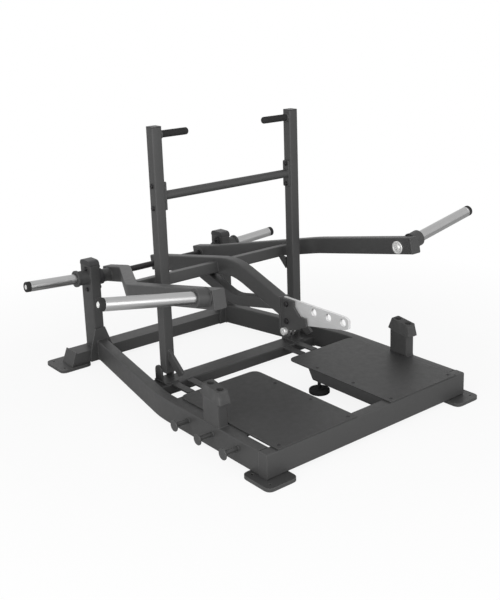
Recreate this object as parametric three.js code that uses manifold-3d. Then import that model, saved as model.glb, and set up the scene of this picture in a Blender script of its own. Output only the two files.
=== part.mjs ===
// A belt squat machine: a floor frame with two rear columns, a forked lever that swings on a
// shaft between the columns, two uprights with a crossbar and handles, and sleeves for plates.
// Millimetres. X is across the machine, Y runs from front to rear, Z is up from the floor.

import * as THREE from "three";
import { mergeVertices } from "three/addons/utils/BufferGeometryUtils.js";
import Module from "manifold-3d";

const wasm = await Module();
wasm.setup();

// Clearances and common stock
const fit_gap = 0.3;
const corner_steps = 3;
const round_steps = 28;
const bend_steps = 4;
const tube_wall = 3;
const tube_corner = 6;
const plate_thick = 8;
const overshoot = 40;

// Floor frame
const frame_half_width = 570;
const rail_width = 50;
const frame_height = 103;
const foot_plate_thick = 15;
const rail_bend_y = 724;
const rail_bend_reach = 60;
const rail_run_in_share = 0.185;
const vent_radius = 6;
const mid_beam_front_y = 895;
const mid_beam_depth = 100;
const mid_beam_height = 50;
const rest_centres = [293, 373];
const rest_width = 36;
const rest_tip_y = 768;
const rest_thick = 8;
const ledge_front_y = 181;
const ledge_reach = 30;
const ledge_thick = 8;
const rear_beam_front_y = 1510;
const rear_beam_depth = 100;
const rear_beam_height = 60;
const rear_beam_top_inset = 21;
const rear_beam_foot_proud = 3;
const rear_end_plate_proud = 7;

// Foot plates
const front_foot_inset = 33;
const front_foot_y = 25;
const rear_foot_inset = 17;
const rear_foot_y = 1582;
const front_foot_width = 147;
const front_foot_length = 164;
const rear_foot_width = 166;
const rear_foot_length = 180;
const foot_corner_cut = 30;
const foot_hole_radius = 6;
const foot_hole_inset = 30;

// Rear columns and the joint plates in front of them
const column_inset = 191;
const column_width = 54;
const column_top = 500;
const column_wall = 4;
const column_cap_height = 26;
const column_cap_round = 26;
const joint_plate_top = 180;
const joint_plate_shoulder = 55;
const joint_plate_inner_reach = 44;
const joint_plate_outer_reach = 37;

// Lever shaft and its bearings
const pivot_y = 1552;
const pivot_z = 431;
const shaft_radius = 15.5;
const shaft_end_gap = 3;
const bearing_radius = 40;
const bearing_ear_radius = 18;
const bearing_ear_reach = 50;
const bearing_flange = 12;
const bearing_depth = 26;

// Uprights, crossbar and handles
const upright_inset = 184;
const upright_y = 930;
const upright_size = 50;
const upright_bottom = 118;
const upright_top = 1233;
const upright_cap_thick = 5;
const upright_cap_plug = 22;
const crossbar_drop = 301.5;
const crossbar_radius = 20;
const crossbar_plate_thick = 10;
const crossbar_plate_height = 126;
const crossbar_plate_width = 42;
const handle_drop = 32;
const handle_reach = 148;
const handle_radius = 12.5;
const grip_radius = 16;
const grip_tip_wall = 6;
const handle_collar_radius = 21;
const handle_collar_thick = 7;

// Upright bases
const base_width = 72;
const base_front_y = 900;
const base_rear_y = 990;
const base_thick = 8;
const lug_thick = 8;
const lug_depth = 54;
const lug_setback = 28;
const lug_top = 146;
const lug_round_steps = 12;
const strap_thick = 14;
const strap_top = 230;
const strap_heel = 176;
const strap_tip_reach = 106;
const strap_tip_drop = 85;
const strap_toe_reach = 72;
const strap_toe_drop = 55;

// Standing platforms
const platform_inner_x = 97;
const platform_side_gap = 5;
const platform_rear_y = 650;
const platform_thick = 6;
const platform_corner = 40;
const support_inset = 3;
const support_size = 50;
const support_rear_y = 511;
const support_rear_slope = 30;
const foot_puck_radius = 48;
const foot_puck_height = 20;
const foot_puck_clear = 8;
const foot_puck_rim = 5;
const foot_stud_radius = 8;
const foot_stud_top = 88;
const foot_puck_y = 466;

// Bump posts under the lever's arms
const post_y = 349;
const post_depth = 104;
const post_top = 226;
const bump_tilt_deg = 8;
const bump_cap_height = 54;
const bump_cap_side_flare = 9;
const bump_cap_end_flare = 16;
const bump_hole_radius = 15;
const bump_hole_depth = 12;
const bump_hole_spacing = 62;

// Band pegs on the outside of the rails
const peg_ys = [178, 343, 506];
const peg_z = 80;
const peg_radius = 10;
const peg_reach = 74;
const peg_disc_radius = 24;
const peg_disc_thick = 5;
const peg_disc_round = 1.5;

// Weight sleeves
const sleeve_radius = 25;
const sleeve_wall = 4;
const sleeve_cap_length = 22;
const sleeve_cap_round = 4;
const storage_z = 441;
const storage_y = 1549;
const storage_boss_radius = 36;
const storage_boss_length = 64;
const storage_flange_radius = 41;
const storage_flange_thick = 10;
const storage_length = 327;
const storage_tilt_deg = 3.64;
const lever_sleeve_setback = 50;
const lever_sleeve_up = 0;
const lever_sleeve_tilt_deg = 9.16;
const lever_sleeve_toe_deg = 2;
const lever_boss_radius = 37.5;
const lever_boss_length = 54;
const lever_sleeve_length = 453;

// Lever, in its own directions: forward along the arms from the shaft, and up from them
const lever_pose_deg = 10.5;
const arm_width = 54;
const arm_low = -50;
const arm_high = 28;
const arm_rear_inset = 99;
const arm_rear_forward = -52;
const arm_rear_bend_forward = 125;
const arm_front_inset = 19;
const arm_front_bend_forward = 642;
const arm_bend_reach = 30;
const arm_front_forward = 1293;
const arm_end_width = 57;
const arm_end_thick = 5;
const hub_radius = 33;
const hub_inner_proud = 3;
const hub_bush_length = 24;
const hub_bush_wall = 6;
const boss_washer_radius = 30;
const boss_washer_thick = 6;
const boss_washer_setback = 83;
const boss_washer_up = -17;
const stop_gusset_inset = 19;
const stop_gusset_thick = 10;
const cross_tube_rear = 488;
const cross_tube_front = 558;
const cross_tube_low = -35;
const cross_tube_high = 15;
const spine_width = 50;
const spine_height = 80;
const spine_rear = -37;
const spine_rear_cap = 10;
const spine_bend_forward = 668;
const spine_bend_reach = 90;
const spine_up_rear = 2;
const spine_up_bend = -5;
const spine_drop_share = 0.56;
const brace_height = 54;
const brace_start = 300;
const brace_bend = 637;
const brace_up_start = 8;
const brace_up_bend = -167;
const brace_front = 975;
const brace_bend_reach = 50;

// Belt plate and the cheeks that clamp it, in the machine's own directions at the rest pose
const nose_plate_y = 550;
const nose_plate_thick = 10;
const nose_plate_low = 308;
const nose_plate_high = 478;
const cheek_thick = 10;
const belt_plate_thick = 12;
const belt_plate_rear_y = 545;
const belt_plate_top = 478;
const belt_plate_nose_y = 142;
const belt_hole_ys = [174, 261, 351];
const belt_hole_z = 451;
const belt_hole_radius = 16.5;
const belt_bolt_y = 517;
const belt_bolt_zs = [374, 453];
const belt_bolt_radius = 8;
const belt_bolt_head_radius = 13;
const belt_bolt_head_thick = 9;
const tie_pin_y = 530;
const tie_pin_z = 324;
const tie_pin_radius = 17;
const tie_pin_reach = 32;
const cheek_front_y = 390;
const cheek_low = 298;
const cheek_high = 475;
const cheek_shares = [
  [1, 1], [0.497, 1], [0.497, 0.853], [0.279, 0.65], [0.036, 0.65], [0, 0.452], [0.352, 0.294],
  [0.715, 0.181], [0.703, 0.056], [0.788, 0], [0.909, 0], [1, 0.056]];
const stop_gusset_front_y = 962;
const stop_gusset_rear_y = 1012;
const stop_gusset_low = 445;
const stop_gusset_high = 508;
const stop_gusset_shares = [[0, 0.889], [0, 0], [1, 0.778], [1, 1]];
const belt_plate_low = 352;
const belt_plate_shares = [
  [1, 1], [0.057, 1], [0, 0.921], [0, 0.635], [0.045, 0.556], [1, 0]];

// Colours
const frame_look = { color: 0x3b3d40, roughness: 0.62, metalness: 0.25 };
const chrome_look = { color: 0xc9ccd0, roughness: 0.2, metalness: 1 };
const rubber_look = { color: 0x141414, roughness: 0.85, metalness: 0 };
const plastic_look = { color: 0x1c1c1d, roughness: 0.5, metalness: 0 };
const brushed_look = { color: 0xb9bcbf, roughness: 0.38, metalness: 0.9 };
const bolt_look = { color: 0x2a2b2d, roughness: 0.4, metalness: 0.7 };

// Values that follow from the sizes above
const frame_bottom = foot_plate_thick + fit_gap;
const frame_top = frame_bottom + frame_height;
const rail_centre_x = frame_half_width - rail_width / 2;
const rear_beam_top_half = frame_half_width - rear_beam_top_inset;
const rear_beam_foot_half = frame_half_width + rear_beam_foot_proud;
const front_foot_x = frame_half_width - front_foot_inset;
const rear_foot_x = frame_half_width - rear_foot_inset;
const column_inner_x = frame_half_width - column_inset;
const upright_x = frame_half_width - upright_inset;
const platform_outer_x = frame_half_width - rail_width - platform_side_gap;
const support_inner_x = platform_inner_x + support_inset;
const rail_rear_y = rear_beam_front_y - plate_thick - 2 * fit_gap;
const mid_beam_top = frame_bottom + mid_beam_height;
const rear_beam_top = frame_bottom + rear_beam_height;
const column_outer_x = column_inner_x + column_width;
const column_centre_x = column_inner_x + column_width / 2;
const joint_plate_inner_x = column_inner_x - joint_plate_inner_reach;
const joint_plate_outer_x = column_outer_x + joint_plate_outer_reach;
const arm_rear_x = column_inner_x - arm_rear_inset;
const arm_front_x = frame_half_width - arm_front_inset;
const lever_sleeve_forward = arm_front_forward - lever_sleeve_setback;
const boss_washer_forward = arm_front_forward - boss_washer_setback;
const stop_gusset_x = upright_x - stop_gusset_inset;
const column_bottom = rear_beam_top + fit_gap;
const lever_pose = THREE.MathUtils.degToRad(lever_pose_deg);
const arm_height = arm_high - arm_low;
const arm_up = (arm_high + arm_low) / 2;
const upright_inner_x = upright_x - upright_size / 2;
const handle_tip_x = upright_inner_x - handle_reach;
const handle_z = upright_top - handle_drop;
const crossbar_z = upright_top - crossbar_drop;
const upright_rear_y = upright_y + upright_size / 2;
const upright_front_y = upright_y - upright_size / 2;
const platform_bottom = frame_top + fit_gap;
const support_centre_x = support_inner_x + support_size / 2;
const footprint_front = front_foot_y - front_foot_length / 2;
const footprint_rear = rear_foot_y + rear_foot_length / 2;
const cheek_rear_y = nose_plate_y + nose_plate_thick / 2;

// The sizes above count from the front beam's front face; the whole part counts from the
// middle of its footprint.
const part = new THREE.Group();
part.name = "belt_squat_machine";
const machine = new THREE.Group();
machine.name = "machine";
machine.position.y = -(footprint_front + footprint_rear) / 2;
part.add(machine);
const lever = new THREE.Group();
lever.name = "lever_parts";
lever.position.set(0, pivot_y, pivot_z);
lever.rotation.x = -lever_pose;
machine.add(lever);

// Turns a closed geometry into a solid that can be joined, cut and trimmed.
function solid(geometry) {
  const bare = geometry.index ? geometry.toNonIndexed() : geometry.clone();
  bare.deleteAttribute("normal");
  bare.deleteAttribute("uv");
  const merged = mergeVertices(bare);
  const points = new wasm.Mesh({
    numProp: 3,
    vertProperties: new Float32Array(merged.attributes.position.array),
    triVerts: new Uint32Array(merged.index.array),
  });
  return new wasm.Manifold(points);
}

// Turns a solid back into a geometry.
function geometry_of(body) {
  const mesh = body.getMesh();
  const geometry = new THREE.BufferGeometry();
  const stride = mesh.numProp;
  const count = mesh.vertProperties.length / stride;
  const positions = new Float32Array(count * 3);
  for (let i = 0; i < count; i += 1) {
    for (let axis = 0; axis < 3; axis += 1) {
      positions[i * 3 + axis] = mesh.vertProperties[i * stride + axis];
    }
  }
  geometry.setAttribute("position", new THREE.BufferAttribute(positions, 3));
  geometry.setIndex(new THREE.BufferAttribute(new Uint32Array(mesh.triVerts), 1));
  geometry.computeVertexNormals();
  return geometry;
}

// The same geometry on the other side of the machine's middle.
function mirrored(geometry) {
  const other = geometry.clone();
  other.scale(-1, 1, 1);
  const order = other.index.array;
  for (let i = 0; i < order.length; i += 3) {
    const kept = order[i];
    order[i] = order[i + 1];
    order[i + 1] = kept;
  }
  other.computeVertexNormals();
  return other;
}

function add_piece(group, name, geometry, look) {
  const piece = new THREE.Mesh(geometry, new THREE.MeshStandardMaterial(look));
  piece.name = name;
  group.add(piece);
  return piece;
}

// Adds a piece built on the right and its mirror image on the left.
function add_pair(group, name, geometry, look) {
  add_piece(group, `${name}_right`, geometry, look);
  add_piece(group, `${name}_left`, mirrored(geometry), look);
}

function rounded_outline(target, width, height, corner) {
  const half_w = width / 2;
  const half_h = height / 2;
  const quarter = Math.PI / 2;
  target.absarc(half_w - corner, half_h - corner, corner, 0, quarter);
  target.absarc(corner - half_w, half_h - corner, corner, quarter, 2 * quarter);
  target.absarc(corner - half_w, corner - half_h, corner, 2 * quarter, 3 * quarter);
  target.absarc(half_w - corner, corner - half_h, corner, 3 * quarter, 4 * quarter);
  target.closePath();
  return target;
}

function bar_section(width, height, corner) {
  return rounded_outline(new THREE.Shape(), width, height, corner);
}

function tube_section(width, height, corner, wall) {
  const shape = bar_section(width, height, corner);
  const inner_corner = Math.max(corner - wall, corner / 3);
  const hole = rounded_outline(new THREE.Path(), width - 2 * wall, height - 2 * wall, inner_corner);
  shape.holes.push(hole);
  return shape;
}

function straight(section, length) {
  const geometry = new THREE.ExtrudeGeometry(section, {
    depth: length, bevelEnabled: false, curveSegments: corner_steps,
  });
  geometry.translate(0, 0, -length / 2);
  return geometry;
}

// Turns a length that runs up into one that runs across; the section's width then stands up.
function laid_across(geometry) {
  geometry.rotateY(Math.PI / 2);
  return geometry;
}

// Turns a length that runs up into one that runs from front to rear.
function laid_rearward(geometry) {
  geometry.rotateX(-Math.PI / 2);
  return geometry;
}

// A closed box between two corners.
function block(low, high) {
  const size = high.map((value, i) => value - low[i]);
  const geometry = new THREE.BoxGeometry(...size);
  geometry.translate(...low.map((value, i) => value + size[i] / 2));
  return geometry;
}

function rod_across(radius, length) {
  const geometry = new THREE.CylinderGeometry(radius, radius, length, round_steps);
  geometry.rotateZ(-Math.PI / 2);
  return geometry;
}

function rod_up(radius, length) {
  const geometry = new THREE.CylinderGeometry(radius, radius, length, round_steps);
  geometry.rotateX(Math.PI / 2);
  return geometry;
}

// Places a turned shape that runs up from zero so that it runs from a point in a direction.
function pointed(geometry, from, direction) {
  const turn = new THREE.Quaternion().setFromUnitVectors(new THREE.Vector3(0, 1, 0), direction);
  geometry.applyQuaternion(turn);
  geometry.translate(from.x, from.y, from.z);
  return geometry;
}

function turned(profile) {
  return new THREE.LatheGeometry(
    profile.map(([radius, along]) => new THREE.Vector2(radius, along)), round_steps);
}

// A flat plate whose outline lies in the plane from front to rear, centred across on x.
function side_plate(outline, thick, x) {
  const shape = new THREE.Shape(outline.map(([y, z]) => new THREE.Vector2(y, z)));
  const geometry = straight(shape, thick);
  const turn = new THREE.Matrix4().makeBasis(
    new THREE.Vector3(0, 1, 0), new THREE.Vector3(0, 0, 1), new THREE.Vector3(1, 0, 0));
  geometry.applyMatrix4(turn);
  geometry.translate(x, 0, 0);
  return geometry;
}

// An outline given as shares of the box between a low corner and a high one.
function outline_between(shares, [low_y, low_z], [high_y, high_z]) {
  return shares.map(([along, up]) => [
    low_y + along * (high_y - low_y), low_z + up * (high_z - low_z)]);
}

// A line of given points, along which a section is carried with mitred turns.
class CornerPath extends THREE.Curve {
  constructor(points) {
    super();
    this.points = points;
  }

  getPoint(share, target = new THREE.Vector3()) {
    const last = this.points.length - 1;
    const place = share * last;
    const index = Math.min(Math.floor(place), last - 1);
    return target.lerpVectors(this.points[index], this.points[index + 1], place - index);
  }

  getPointAt(share, target) {
    return this.getPoint(share, target);
  }

  getTangentAt(share, target = new THREE.Vector3()) {
    const last = this.points.length - 1;
    const index = Math.round(share * last);
    target.set(0, 0, 0);
    for (const start of [index - 1, index]) {
      if (start >= 0 && start < last) {
        const step = this.points[start + 1].clone().sub(this.points[start]);
        target.add(step.normalize());
      }
    }
    return target.normalize();
  }
}

// Start, bend and end become a line with a rounded bend that begins and ends a reach away.
function bent_line(start, corner, end, reach) {
  const before = corner.clone().add(start.clone().sub(corner).setLength(reach));
  const after = corner.clone().add(end.clone().sub(corner).setLength(reach));
  const bend = new THREE.QuadraticBezierCurve3(before, corner, after);
  return [start, ...bend.getPoints(bend_steps), end];
}

function carried(section, line) {
  return new THREE.ExtrudeGeometry(section, {
    steps: line.length - 1,
    extrudePath: new CornerPath(line),
    bevelEnabled: false,
    curveSegments: corner_steps,
  });
}

// Machine directions at the rest pose turned into the lever's own directions.
function into_lever(geometry) {
  geometry.translate(0, -pivot_y, -pivot_z);
  geometry.rotateX(lever_pose);
  return geometry;
}

function add_front_beam() {
  const length = 2 * frame_half_width;
  const outside = laid_across(straight(bar_section(frame_height, rail_width, tube_corner), length));
  const inner_corner = tube_corner - tube_wall;
  const inner_section = bar_section(
    frame_height - 2 * tube_wall, rail_width - 2 * tube_wall, inner_corner);
  const inside = laid_across(straight(inner_section, length - 2 * tube_wall));
  const vent = rod_up(vent_radius, frame_height);
  vent.translate(0, 0, -frame_height / 2);
  const beam = solid(outside).subtract(solid(inside)).subtract(solid(vent));
  const piece = add_piece(machine, "front_beam", geometry_of(beam), frame_look);
  piece.position.set(0, rail_width / 2, frame_bottom + frame_height / 2);
}

function rail_line(extra) {
  const z = frame_bottom + frame_height / 2;
  const start = new THREE.Vector3(rail_centre_x, rail_width + fit_gap - extra, z);
  const corner = new THREE.Vector3(rail_centre_x, rail_bend_y, z);
  const run = rail_rear_y + overshoot - rail_bend_y;
  const end = new THREE.Vector3(
    rail_centre_x - run * rail_run_in_share, rail_rear_y + overshoot, z);
  return bent_line(start, corner, end, rail_bend_reach);
}

// The rail as a solid bar with its clearance, for trimming what ends against it.
function rail_envelope() {
  const section = bar_section(
    frame_height + 2 * fit_gap, rail_width + 2 * fit_gap, tube_corner + fit_gap);
  return solid(carried(section, rail_line(overshoot)));
}

// A peg with a disc at its tip that keeps a band on it.
function band_peg(y) {
  const reach = peg_reach + tube_wall / 2;
  const disc_start = reach - peg_disc_thick;
  const geometry = turned([
    [0, 0], [peg_radius, 0], [peg_radius, disc_start], [peg_disc_radius, disc_start],
    [peg_disc_radius, reach - peg_disc_round], [peg_disc_radius - peg_disc_round, reach],
    [0, reach]]);
  geometry.rotateZ(-Math.PI / 2);
  geometry.translate(frame_half_width - tube_wall / 2, y, peg_z);
  return solid(geometry);
}

// A flat ledge along a rail's inner side, which carries the platform's outer edge.
function platform_ledge() {
  const inner_x = frame_half_width - rail_width;
  return solid(block(
    [inner_x - ledge_reach, ledge_front_y, frame_top - ledge_thick],
    [inner_x + tube_corner, platform_rear_y, frame_top]));
}

// Both rails are alike, but only the left one carries band pegs.
function add_side_rails() {
  const section = tube_section(frame_height, rail_width, tube_corner, tube_wall);
  const beyond = block(
    [0, rail_rear_y, 0], [frame_half_width, rail_rear_y + 4 * overshoot, 2 * frame_height]);
  let rail = solid(carried(section, rail_line(0))).subtract(solid(beyond)).add(platform_ledge());
  add_piece(machine, "side_rail_right", geometry_of(rail), frame_look);
  for (const y of peg_ys) {
    rail = rail.add(band_peg(y));
  }
  add_piece(machine, "side_rail_left", mirrored(geometry_of(rail)), frame_look);
}

// The middle beam, with four short flat bars that reach forward from its top.
function add_mid_beam() {
  const half_length = rail_centre_x - rail_width;
  const section = tube_section(mid_beam_height, mid_beam_depth, tube_corner, tube_wall);
  const tube = laid_across(straight(section, 2 * half_length));
  tube.translate(0, mid_beam_front_y + mid_beam_depth / 2, frame_bottom + mid_beam_height / 2);
  const right = rail_envelope();
  const left = solid(mirrored(geometry_of(right)));
  let beam = solid(tube).subtract(right).subtract(left);
  for (const centre of rest_centres) {
    for (const side of [-1, 1]) {
      const x = side * centre;
      beam = beam.add(solid(block(
        [x - rest_width / 2, rest_tip_y, mid_beam_top - rest_thick],
        [x + rest_width / 2, mid_beam_front_y + tube_corner, mid_beam_top])));
    }
  }
  add_piece(machine, "mid_crossmember", geometry_of(beam), frame_look);
}

// The rear beam's outline across, with slanted ends that stand proud of its top.
function rear_beam_bar(inset, proud) {
  const shape = new THREE.Shape();
  const slant = (rear_beam_foot_half - rear_beam_top_half) / rear_beam_height;
  const half = rear_beam_height / 2 - inset;
  const middle = (rear_beam_foot_half + rear_beam_top_half) / 2 - inset;
  const points = [[-half, middle + slant * half], [half + proud, middle - slant * (half + proud)]];
  shape.moveTo(-points[0][1], points[0][0]);
  for (const [up, across] of points) {
    shape.lineTo(across, up);
  }
  shape.lineTo(-points[1][1], points[1][0]);
  shape.closePath();
  return solid(laid_rearward(straight(shape, rear_beam_depth - 2 * inset)).rotateX(Math.PI));
}

function add_rear_beam() {
  const rough = rear_beam_bar(0, rear_end_plate_proud);
  const between = rear_beam_top_half - rear_end_plate_proud;
  const over = block(
    [-between, -rear_beam_depth, rear_beam_height / 2],
    [between, rear_beam_depth, rear_beam_height]);
  const vent = rod_up(vent_radius, rear_beam_height);
  vent.translate(0, 0, -rear_beam_height / 2);
  const beam = rough
    .subtract(solid(over))
    .subtract(rear_beam_bar(tube_wall, 0))
    .subtract(solid(vent));
  const piece = add_piece(machine, "rear_crossmember", geometry_of(beam), frame_look);
  const middle_y = rear_beam_front_y + rear_beam_depth / 2;
  piece.position.set(0, middle_y, frame_bottom + rear_beam_height / 2);
}

function foot_plate(width, length) {
  const half_w = width / 2;
  const half_l = length / 2;
  const shape = new THREE.Shape();
  const turns = [[half_w, -half_l], [half_w, half_l], [-half_w, half_l], [-half_w, -half_l]];
  turns.forEach(([x, y], i) => {
    const along_first = i % 2 === 0;
    const near_x = x - Math.sign(x) * (along_first ? foot_corner_cut : 0);
    const near_y = y - Math.sign(y) * (along_first ? 0 : foot_corner_cut);
    const far_x = x - Math.sign(x) * (along_first ? 0 : foot_corner_cut);
    const far_y = y - Math.sign(y) * (along_first ? foot_corner_cut : 0);
    if (i === 0) {
      shape.moveTo(near_x, near_y);
    } else {
      shape.lineTo(near_x, near_y);
    }
    shape.quadraticCurveTo(x, y, far_x, far_y);
  });
  shape.closePath();
  for (const side of [-1, 1]) {
    const hole = new THREE.Path();
    const hole_y = side * (half_l - foot_hole_inset);
    hole.absarc(half_w - foot_hole_inset, hole_y, foot_hole_radius, 0, 2 * Math.PI, true);
    shape.holes.push(hole);
  }
  const geometry = new THREE.ExtrudeGeometry(shape, {
    depth: foot_plate_thick, bevelEnabled: false, curveSegments: 2 * corner_steps,
  });
  return geometry_of(solid(geometry));
}

function add_foot_plates() {
  const plates = [
    ["front_foot_plate", foot_plate(front_foot_width, front_foot_length),
      front_foot_x, front_foot_y],
    ["rear_foot_plate", foot_plate(rear_foot_width, rear_foot_length), rear_foot_x, rear_foot_y]];
  for (const [name, geometry, x, y] of plates) {
    const right = add_piece(machine, `${name}_right`, geometry, frame_look);
    right.position.set(x, y, 0);
    const left = add_piece(machine, `${name}_left`, mirrored(geometry), frame_look);
    left.position.set(-x, y, 0);
  }
}

// The direction of a sleeve on the right side, from its tilt up and its turn to the rear.
function sleeve_direction(tilt_deg, toe_deg) {
  const tilt = THREE.MathUtils.degToRad(tilt_deg);
  const toe = THREE.MathUtils.degToRad(toe_deg);
  return new THREE.Vector3(
    Math.cos(tilt) * Math.cos(toe), Math.cos(tilt) * Math.sin(toe), Math.sin(tilt));
}

function add_columns() {
  const height = column_top - column_bottom;
  const section = tube_section(column_width, rear_beam_depth, tube_corner, column_wall);
  const tube = straight(section, height);
  const middle_y = rear_beam_front_y + rear_beam_depth / 2;
  tube.translate(column_centre_x, middle_y, column_bottom + height / 2);
  const from = new THREE.Vector3(column_outer_x, storage_y, storage_z);
  const direction = sleeve_direction(storage_tilt_deg, 0);
  const sunk = storage_boss_radius * Math.sin(THREE.MathUtils.degToRad(storage_tilt_deg));
  const flange_start = storage_boss_length - storage_flange_thick;
  const boss = pointed(turned([
    [0, -sunk], [storage_boss_radius, -sunk], [storage_boss_radius, flange_start],
    [storage_flange_radius, flange_start], [storage_flange_radius, storage_boss_length],
    [0, storage_boss_length]]), from, direction);
  const cavity = block(
    [column_inner_x + column_wall, rear_beam_front_y + column_wall, column_bottom],
    [column_outer_x - column_wall, rear_beam_front_y + rear_beam_depth - column_wall, column_top]);
  const column = solid(tube).add(solid(boss).subtract(solid(cavity)));
  add_pair(machine, "rear_column", geometry_of(column), frame_look);
}

function add_column_caps() {
  const half = rear_beam_depth / 2;
  const middle_y = rear_beam_front_y + half;
  const low = column_top + fit_gap;
  const high = low + column_cap_height;
  const shape = new THREE.Shape();
  shape.moveTo(middle_y + half, low);
  shape.lineTo(middle_y + half, high - column_cap_round);
  shape.quadraticCurveTo(middle_y + half, high, middle_y + half - column_cap_round, high);
  shape.lineTo(middle_y - half + column_cap_round, high);
  shape.quadraticCurveTo(middle_y - half, high, middle_y - half, high - column_cap_round);
  shape.lineTo(middle_y - half, low);
  shape.closePath();
  const outline = shape.getPoints(2 * corner_steps).map((point) => [point.x, point.y]);
  const cap = side_plate(outline, column_width, column_centre_x);
  add_pair(machine, "column_cap", geometry_of(solid(cap)), plastic_look);
}

function add_joint_plates() {
  const shape = new THREE.Shape([
    [column_inner_x, joint_plate_top], [joint_plate_inner_x, joint_plate_shoulder],
    [joint_plate_inner_x, frame_bottom], [joint_plate_outer_x, frame_bottom],
    [joint_plate_outer_x, joint_plate_shoulder], [column_outer_x, joint_plate_top],
  ].map(([x, z]) => new THREE.Vector2(x, z)));
  const plate = straight(shape, plate_thick).rotateX(Math.PI / 2);
  plate.translate(0, rear_beam_front_y - fit_gap - plate_thick / 2, 0);
  add_pair(machine, "joint_plate", geometry_of(solid(plate)), frame_look);
}

function add_bearings() {
  const outer = column_inner_x - fit_gap;
  const ears = straight(
    bar_section(2 * bearing_ear_radius, 2 * (bearing_ear_reach + bearing_ear_radius),
      bearing_ear_radius - fit_gap), bearing_flange);
  ears.rotateX(Math.PI / 2);
  ears.rotateZ(Math.PI / 2);
  ears.translate(outer - bearing_flange / 2, pivot_y, pivot_z);
  const boss = rod_across(bearing_radius, bearing_depth);
  boss.translate(outer - bearing_depth / 2, pivot_y, pivot_z);
  const bore = rod_across(shaft_radius + fit_gap, 2 * bearing_depth);
  bore.translate(outer - bearing_depth / 2, pivot_y, pivot_z);
  const bearing = solid(ears).add(solid(boss)).subtract(solid(bore));
  add_pair(machine, "bearing", geometry_of(bearing), bolt_look);
}

function add_uprights() {
  const height = upright_top - upright_bottom;
  const section = tube_section(upright_size, upright_size, tube_corner, tube_wall);
  const tube = straight(section, height);
  tube.translate(upright_x, upright_y, upright_bottom + height / 2);
  const upright = solid(tube).add(solid(upright_strap()));
  add_pair(machine, "upright", geometry_of(upright), frame_look);
}

function add_upright_caps() {
  const plug_size = upright_size - 2 * tube_wall - 2 * fit_gap;
  const plug = straight(bar_section(plug_size, plug_size, tube_corner / 2), upright_cap_plug);
  plug.translate(0, 0, -upright_cap_plug / 2 + tube_wall);
  const lid = straight(bar_section(upright_size, upright_size, tube_corner), upright_cap_thick);
  lid.translate(0, 0, fit_gap + upright_cap_thick / 2);
  const cap = solid(plug).add(solid(lid));
  const geometry = geometry_of(cap);
  geometry.translate(upright_x, upright_y, upright_top);
  add_pair(machine, "upright_cap", geometry, plastic_look);
}

// The side view of a lug that stands on the base plate and is round at its top.
function lug_outline(low) {
  const half = lug_depth / 2;
  const middle_y = upright_y + lug_setback;
  const outline = [[middle_y - half, low]];
  for (let i = 0; i <= lug_round_steps; i += 1) {
    const turn = Math.PI * (1 - i / lug_round_steps);
    outline.push([middle_y + half * Math.cos(turn), lug_top - half + half * Math.sin(turn)]);
  }
  outline.push([middle_y + half, low]);
  return outline;
}

// A plate on the middle beam, with a lug welded to each side of the upright's rear half.
function add_upright_bases() {
  const low = mid_beam_top + fit_gap;
  const high = low + base_thick;
  let base = solid(block(
    [upright_x - base_width / 2, base_front_y, low],
    [upright_x + base_width / 2, base_rear_y, high]));
  for (const side of [-1, 1]) {
    const x = upright_x + side * (upright_size / 2 + fit_gap + lug_thick / 2);
    base = base.add(solid(side_plate(lug_outline(high - base_thick / 2), lug_thick, x)));
  }
  add_pair(machine, "upright_base", geometry_of(base), frame_look);
}

// The flat bar that slopes down and forward from the upright's front.
function upright_strap() {
  const front = upright_front_y + tube_wall / 2;
  return side_plate([
    [front, strap_top], [upright_front_y - strap_tip_reach, strap_top - strap_tip_drop],
    [upright_front_y - strap_toe_reach, strap_heel - strap_toe_drop], [front, strap_heel]],
    strap_thick, upright_x);
}

function add_crossbar() {
  const reach = upright_inner_x - fit_gap;
  const bar = rod_across(crossbar_radius, 2 * reach - crossbar_plate_thick);
  let body = solid(bar);
  for (const side of [-1, 1]) {
    const section = bar_section(crossbar_plate_width, crossbar_plate_height, tube_corner);
    const plate = straight(section, crossbar_plate_thick);
    plate.rotateX(Math.PI / 2);
    plate.rotateZ(Math.PI / 2);
    plate.translate(side * (reach - crossbar_plate_thick / 2), 0, 0);
    body = body.add(solid(plate));
  }
  body = body.subtract(solid(rod_across(crossbar_radius - tube_wall, 2 * upright_x)));
  const piece = add_piece(machine, "crossbar", geometry_of(body), frame_look);
  piece.position.set(0, upright_y, crossbar_z);
}

function add_handles() {
  const root = upright_inner_x - fit_gap;
  const length = root - handle_tip_x;
  const collar_end = handle_collar_thick;
  const bar_end = length - grip_tip_wall - fit_gap;
  const inward = new THREE.Vector3(-1, 0, 0);
  const from = new THREE.Vector3(root, upright_y, handle_z);
  const bar = pointed(turned([
    [0, 0], [handle_collar_radius, 0], [handle_collar_radius, collar_end],
    [handle_radius, collar_end], [handle_radius, bar_end], [0, bar_end]]), from, inward);
  const start = collar_end + fit_gap;
  const inside = handle_radius + fit_gap;
  const nose = grip_tip_wall;
  const tip = [];
  for (let i = 0; i <= corner_steps; i += 1) {
    const turn = (i / corner_steps) * (Math.PI / 2);
    tip.push([
      grip_radius - nose + nose * Math.cos(turn), length - nose + nose * Math.sin(turn)]);
  }
  const grip = pointed(turned([
    [0, bar_end + fit_gap], [inside, bar_end + fit_gap], [inside, start],
    [grip_radius, start], ...tip, [0, length]]), from, inward);
  add_pair(machine, "handle_bar", geometry_of(solid(bar)), frame_look);
  add_pair(machine, "handle_grip", geometry_of(solid(grip)), rubber_look);
}

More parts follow.
